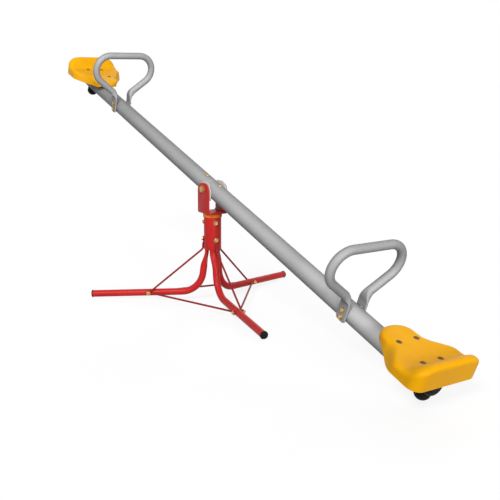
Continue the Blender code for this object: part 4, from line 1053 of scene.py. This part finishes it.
def lockNutShape(size, height):  # hexagon with a washer face and a rolled collar, from z = 0 up
    nut, corner, washer = nutSet, size["corner"], size["washer"]
    apothem, bore, hexTop = corner * cos(pi / 6), size["shank"] + nut["play"], height * nut["hexShare"]
    under, root, crown = nut["washerHeight"], apothem * nut["root"], apothem * nut["crown"]
    rootLow, rootHigh = nut["rootRises"]
    rings = [discRing(bore, 0), discRing(washer, 0), discRing(washer, under), discRing(root, under),
             hexRing(corner, rootLow, root), hexRing(corner, rootHigh)]
    for k in range(nut["crownSteps"] + 1):
        limit = corner - (corner - crown) * k / nut["crownSteps"]
        rings.append(hexRing(corner, hexTop - nut["crownDrop"] * (1 - k / nut["crownSteps"]), limit))
    for k in range(nut["collarSteps"] + 1):  # rolled collar
        turn = pi / 2 * k / nut["collarSteps"]
        collar = apothem * nut["collar"][0] + apothem * nut["collar"][1] * cos(turn)
        rise = nut["collarRise"][0] + nut["collarRise"][1] * sin(turn)
        rings.append(discRing(collar, hexTop + (height - hexTop) * rise))
    rings += [discRing(bore + nut["mouth"], height), discRing(bore, height - nut["mouth"])]
    return toMesh(skinRings(rings, loop=True), "nut")


def domeBoltShape(size):  # low dome with a hexagon socket
    dome, head, height, shank = domeSet, size["head"], size["height"], size["shank"]
    socket = head * dome["socket"]
    rings = [discRing(0.0, height * dome["socketFloor"]), hexRing(socket, height * dome["socketFloor"]),
             hexRing(socket, height * dome["socketTop"]),
             hexRing(socket * dome["lip"], height * dome["lipTop"])]
    for k in range(dome["steps"] + 1):
        turn = dome["sweep"] * (1 - k / dome["steps"])
        rise = dome["skirt"] + (1 - dome["skirt"]) * sin(turn) / sin(dome["sweep"])
        rings.append(discRing(head * cos(turn), height * rise))
    rings += [discRing(head, dome["edge"]), discRing(head - dome["under"], 0), discRing(shank, 0)]
    return toMesh(skinRings(rings + threadRings(shank, 0, -size["length"])), "domeBolt")


def newTree(name, **inputs):  # node tree with these inputs, and a mesh out
    tree = bpy.data.node_groups.new(name, "GeometryNodeTree")
    for label, kind in inputs.items():
        tree.interface.new_socket(label, in_out="INPUT", socket_type=f"NodeSocket{kind}")
    tree.interface.new_socket("Mesh", in_out="OUTPUT", socket_type="NodeSocketGeometry")
    return tree, tree.nodes.new("NodeGroupInput").outputs


def setOnPoints(tree, points, shape, finish):  # the shape on each point, made real and painted
    add, link = tree.nodes.new, tree.links.new
    setter, real = add("GeometryNodeInstanceOnPoints"), add("GeometryNodeRealizeInstances")
    paint, result = add("GeometryNodeSetMaterial"), add("NodeGroupOutput")
    link(points, setter.inputs["Points"])
    link(shape, setter.inputs["Instance"])
    link(setter.outputs["Instances"], real.inputs["Geometry"])
    link(real.outputs["Geometry"], paint.inputs["Geometry"])
    link(finish, paint.inputs["Material"])
    link(paint.outputs["Geometry"], result.inputs["Mesh"])
    return setter


def fastenerTree():  # points with "aim" and "spin" in, one realised mesh out
    tree, given = newTree("fastenerSetter", Points="Geometry", Fastener="Object", Size="Float",
                          Finish="Material")
    add, link = tree.nodes.new, tree.links.new
    shape = add("GeometryNodeObjectInfo")
    aim, spin = add("GeometryNodeInputNamedAttribute"), add("GeometryNodeInputNamedAttribute")
    aim.data_type, spin.data_type = "FLOAT_VECTOR", "FLOAT"
    aim.inputs["Name"].default_value, spin.inputs["Name"].default_value = "aim", "spin"
    align = add("FunctionNodeAlignRotationToVector")
    align.axis = "Z"
    about, turned = add("FunctionNodeAxisAngleToRotation"), add("FunctionNodeRotateRotation")
    about.inputs["Axis"].default_value = (0, 0, 1)
    turned.rotation_space = "LOCAL"
    link(given["Fastener"], shape.inputs["Object"])
    link(aim.outputs["Attribute"], align.inputs["Vector"])
    link(spin.outputs["Attribute"], about.inputs["Angle"])
    link(align.outputs["Rotation"], turned.inputs["Rotation"])
    link(about.outputs["Rotation"], turned.inputs["Rotate By"])
    setter = setOnPoints(tree, given["Points"], shape.outputs["Geometry"], given["Finish"])
    link(turned.outputs["Rotation"], setter.inputs["Rotation"])
    link(given["Size"], setter.inputs["Scale"])
    return tree


def weldTree():  # path in, a row of overlapping weld ripples out
    tree, given = newTree("weldRipples", Path="Geometry", Pitch="Float", Width="Float", Finish="Material")
    add, link = tree.nodes.new, tree.links.new
    curve, points = add("GeometryNodeMeshToCurve"), add("GeometryNodeCurveToPoints")
    points.mode = "LENGTH"
    drop = add("GeometryNodeMeshIcoSphere")
    drop.inputs["Subdivisions"].default_value = 2
    link(given["Path"], curve.inputs["Mesh"])
    link(curve.outputs["Curve"], points.inputs["Curve"])
    link(given["Pitch"], points.inputs["Length"])
    link(given["Width"], drop.inputs["Radius"])
    setOnPoints(tree, points.outputs["Points"], drop.outputs["Mesh"], given["Finish"])
    return tree


fastenerSetter, weldRipples = fastenerTree(), weldTree()
spinDraw = random.Random(17)


def runTree(tree, obj, values):  # set the inputs by identifier, evaluate, return a plain mesh
    step = obj.modifiers.new("nodes", "NODES")
    step.node_group = tree
    for item in tree.interface.items_tree:
        if item.in_out == "INPUT" and item.name in values:
            step[item.identifier] = values[item.name]
    return bakedMesh(obj)


def setFasteners(name, shape, spots, body, replaced, finish=yellowZinc, size=1.0):
    mesh = bpy.data.meshes.new("spots")
    mesh.from_pydata([tuple(spot) for spot, _ in spots], [], [])
    mesh.attributes.new("aim", "FLOAT_VECTOR", "POINT")
    mesh.attributes.new("spin", "FLOAT", "POINT")
    for k, (_, way) in enumerate(spots):
        mesh.attributes["aim"].data[k].vector = way
        mesh.attributes["spin"].data[k].value = spinDraw.uniform(0, 2 * pi)
    pattern = plainObject("pattern", shape)
    values = {"Fastener": pattern, "Size": size, "Finish": finish}
    mesh = runTree(fastenerSetter, plainObject("spots", mesh), values)
    bpy.data.objects.remove(pattern)
    for extra in ("aim", "spin"):
        if extra in mesh.attributes:
            mesh.attributes.remove(mesh.attributes[extra])
    addPiece(name, mesh, finish, body, replaced, sharp=32.0)


fastenerSet = {"column": {"upper": 0.0072, "lower": 0.0098}, "columnThread": 0.005, "nut6": 0.0055,
               "past6": 0.0072, "legThread": 0.014, "handleThread": 0.016, "nut10": 0.0095, "past10": 0.012,
               "pivotThread": 0.018, "bracket": 0.004, "seatNut": 0.0052, "seatNutSize": 0.92}
screwSet = {"at": 0.036, "shank": 0.003, "head": 0.00555, "height": 0.0036, "length": 0.0054}


def setColumnBolts():
    sizes, skin = fastenerSet, columnSet["sleeveRadius"] + gap
    under = {"upper": (skin, boltHigh), "lower": (skin + rodSet["eyeThickness"] + gap, boltLow)}
    for level, (out, up) in under.items():
        places = [basePlace @ legTurn(index) for index in range(len(legNames))]
        spots = [(place @ Vector((out, 0, up)), place.to_3x3() @ xAxis) for place in places]
        bolt = hexBoltShape(hexBolt6, sizes["column"][level], sizes["columnThread"])
        setFasteners(f"columnBolts{level.title()}", bolt, spots, "base",
                     [f"column_bolt_{name}_{level}" for name in legNames])


def setLegBolts():
    sizes, along, thick = fastenerSet, legSet["boltAt"], rodSet["eyeThickness"]
    headAt, nutAt = -(eyeOnLeg + thick / 2 + gap), eyeOutside + thick / 2 + gap
    heads, nuts = [], []
    for index in range(len(legNames)):
        place = basePlace @ legTurn(index)
        side = place.to_3x3() @ yAxis
        heads.append((place @ Vector((along, headAt, legHeight(along))), -side))
        nuts.append((place @ Vector((along, nutAt, legHeight(along))), side))
    bolt = hexBoltShape(hexBolt6, nutAt + sizes["past6"] - headAt, sizes["legThread"])
    nut = lockNutShape(hexBolt6, sizes["nut6"])
    setFasteners("legBolts", bolt, heads, "base", [f"leg_bolt_{name}" for name in legNames])
    setFasteners("legNuts", nut, nuts, "base", [f"leg_nut_{name}" for name in legNames])


def setPivotBolt():
    sizes, side = fastenerSet, earOut + gap
    setFasteners("pivotBolt", hexBoltShape(hexBolt10, 2 * side + sizes["past10"], sizes["pivotThread"]),
                 [(pivot - yAxis * side, -yAxis)], "fork", ["pivot_bolt"])
    setFasteners("pivotNut", lockNutShape(hexBolt10, sizes["nut10"]), [(pivot + yAxis * side, yAxis)], "fork",
                 ["pivot_nut"])


def setHandleBolts():
    sizes, handle = fastenerSet, handleSet
    side = beamSet["radius"] + gap + handle["footThickness"] + gap
    heads, nuts, replaced = [], [], []
    for name, sign in beamEnds:
        for level, rise in (("upper", handle["boltUp"]), ("lower", -handle["boltDown"])):
            along, up = sign * (handle["at"] + rise * sin(handle["lean"])), rise * cos(handle["lean"])
            heads.append((beamPlace @ Vector((along, -side, up)), -yAxis))
            nuts.append((beamPlace @ Vector((along, side, up)), yAxis))
            replaced.append(f"handle_bolt_{name}_{level}")
    bolt = hexBoltShape(hexBolt6, 2 * side + sizes["past6"], sizes["handleThread"])
    setFasteners("handleBolts", bolt, heads, "beam", replaced)
    setFasteners("handleNuts", lockNutShape(hexBolt6, sizes["nut6"]), nuts, "beam", [])


def setSeatBolts():
    sizes, seat = fastenerSet, seatSet
    up = beamPlace.to_3x3() @ zAxis
    headUp = seat["top"] - spotSet["depth"] + gap
    nutUp = seat["top"] - seat["wall"] - gap - sizes["bracket"] - gap
    heads, nuts, replaced = [], [], []
    for name, sign in beamEnds:
        for label, spot in zip(("front_left", "front_right", "rear_left", "rear_right"), seatBoltSpots()):
            heads.append((endPlace(sign) @ Vector((*spot, headUp)), up))
            nuts.append((endPlace(sign) @ Vector((*spot, nutUp)), -up))
            replaced.append(f"seat_bolt_{name}_{label}")
    setFasteners("seatBolts", domeBoltShape(seatBoltSet), heads, "beam", replaced, dullZinc)
    nut = lockNutShape(hexBolt6, sizes["seatNut"])
    setFasteners("seatNuts", nut, nuts, "beam", [], size=sizes["seatNutSize"])


def setCouplerScrews():
    up, skin = beamPlace.to_3x3() @ zAxis, beamSet["radius"] + gap
    spots = [(beamPlace @ Vector((sign * screwSet["at"], 0, skin)), up) for _, sign in beamEnds]
    setFasteners("couplerScrews", domeBoltShape(screwSet), spots, "beam",
                 [f"coupler_screw_{name}" for name, _ in beamEnds])


weldSet = {"lift": 0.0004, "bracketHalf": 0.016, "outside": 0.0006, "ends": (0.8225, 0.9055), "pitch": 0.0016,
           "width": 0.0017}


def makeWelds():  # bare beads along the seat bracket's feet
    weld = weldSet
    outer = weld["bracketHalf"] + weld["outside"]
    height = sqrt((beamSet["radius"] + weld["lift"]) ** 2 - outer ** 2)
    for name, sign in beamEnds:
        paths = bmesh.new()
        for side in (-1, 1):
            points = [Vector((along, side * outer, height + weld["lift"])) for along in weld["ends"]]
            paths.edges.new([paths.verts.new(endPlace(sign) @ point) for point in points])
        mesh = bpy.data.meshes.new("weldPath")
        paths.to_mesh(mesh)
        paths.free()
        sizes = {"Pitch": weld["pitch"], "Width": weld["width"], "Finish": bareSteel}
        bead = runTree(weldRipples, plainObject("weldPath", mesh), sizes)
        addPiece(f"bracketWeld{name.title()}", bead, bareSteel, "beam", [], sharp=60.0)


setColumnBolts()
setLegBolts()
setPivotBolt()
setHandleBolts()
setSeatBolts()
setCouplerScrews()
makeWelds()
print("fasteners and welds made")

keptFinish = {"beam_coupler": bareSteel, "pivot_bush": bareSteel, "seat_bracket_near": bareSteel,
              "seat_bracket_far": bareSteel, "spindle_nut": yellowZinc}  # solids that are shown as they are
for name, finish in keptFinish.items():
    nodes[name].data.materials.clear()
    nodes[name].data.materials.append(finish)


# floor, light and camera
stageSet = {"floorHalf": 60, "floorDrop": 0.0004, "floorTone": 0.17, "floorGlow": 0.85, "skyFill": 0.29}
sunAngle = 22.0
sunSet = {"keySun": (1.85, (0.45, -0.70, 0.66), True), "frontSun": (2.2, (0.95, -0.15, 0.16), True),
          "backSun": (0.9, (-0.60, 0.80, 0.50), False)}  # strength, where from, and whether it makes glare
cameraSet = {"eye": (1.96296, -1.15240, 0.66119), "yaw": 148.5545, "pitch": -12.0044, "lens": 58.026,
             "sensor": 36.0, "shift": (0.0464, -0.0150), "clipEnd": 200.0}


def seenDirectly(tree):  # 1 for camera, glossy and transmission rays
    rays = tree.nodes.new("ShaderNodeLightPath")
    total = rays.outputs["Is Camera Ray"]
    for name in ("Is Glossy Ray", "Is Transmission Ray"):
        most = tree.nodes.new("ShaderNodeMath")
        most.operation = "MAXIMUM"
        tree.links.new(total, most.inputs[0])
        tree.links.new(rays.outputs[name], most.inputs[1])
        total = most.outputs[0]
    return total


def makeFloor():
    stage = stageSet
    bm = bmesh.new()
    bmesh.ops.create_grid(bm, x_segments=1, y_segments=1, size=stage["floorHalf"])
    floor = plainObject("floor", toMesh(bm, "floor"))
    floor.location.z = -stage["floorDrop"]
    paint = bpy.data.materials.new("floorPaint")
    paint.use_nodes = True
    tree = paint.node_tree
    tree.nodes.clear()
    matte, glow = tree.nodes.new("ShaderNodeBsdfDiffuse"), tree.nodes.new("ShaderNodeEmission")
    both, result = tree.nodes.new("ShaderNodeAddShader"), tree.nodes.new("ShaderNodeOutputMaterial")
    level = tree.nodes.new("ShaderNodeMath")
    level.operation = "MULTIPLY"
    level.inputs[1].default_value = stage["floorGlow"]
    matte.inputs["Color"].default_value = (stage["floorTone"],) * 3 + (1,)
    tree.links.new(seenDirectly(tree), level.inputs[0])
    tree.links.new(level.outputs[0], glow.inputs["Strength"])
    tree.links.new(matte.outputs[0], both.inputs[0])
    tree.links.new(glow.outputs[0], both.inputs[1])
    tree.links.new(both.outputs[0], result.inputs["Surface"])
    floor.data.materials.append(paint)


def makeSky():
    world = bpy.data.worlds.new("studio")
    bpy.context.scene.world = world
    world.use_nodes = True
    tree = world.node_tree
    back = tree.nodes["Background"]
    back.inputs["Color"].default_value = (1, 1, 1, 1)
    ranged = tree.nodes.new("ShaderNodeMapRange")
    ranged.inputs["To Min"].default_value = stageSet["skyFill"]
    ranged.inputs["To Max"].default_value = 1.0
    tree.links.new(seenDirectly(tree), ranged.inputs["Value"])
    tree.links.new(ranged.outputs["Result"], back.inputs["Strength"])


def makeSuns():
    for name, (strength, origin, glare) in sunSet.items():
        sun = bpy.data.lights.new(name, "SUN")
        sun.energy, sun.angle = strength, radians(sunAngle)
        lamp = bpy.data.objects.new(name, sun)
        lamp.visible_glossy = glare
        lamp.rotation_mode = "QUATERNION"
        lamp.rotation_quaternion = Vector(origin).to_track_quat("Z", "Y")
        bpy.context.scene.collection.objects.link(lamp)


def makeCamera():
    view = cameraSet
    data = bpy.data.cameras.new("photoCamera")
    data.lens, data.sensor_width, data.clip_end = view["lens"], view["sensor"], view["clipEnd"]
    data.shift_x, data.shift_y = view["shift"]
    camera = bpy.data.objects.new("photoCamera", data)
    yaw, pitch = radians(view["yaw"]), radians(view["pitch"])
    look = Vector((cos(pitch) * cos(yaw), cos(pitch) * sin(yaw), sin(pitch)))
    camera.rotation_mode = "QUATERNION"
    camera.rotation_quaternion = look.to_track_quat("-Z", "Y")
    camera.location = Vector(view["eye"]) + Vector((pivot.x, pivot.y, 0))
    bpy.context.scene.collection.objects.link(camera)
    bpy.context.scene.camera = camera


makeFloor()
makeSky()
makeSuns()
makeCamera()
bpy.context.scene.view_settings.view_transform = "Standard"
print("stage made")
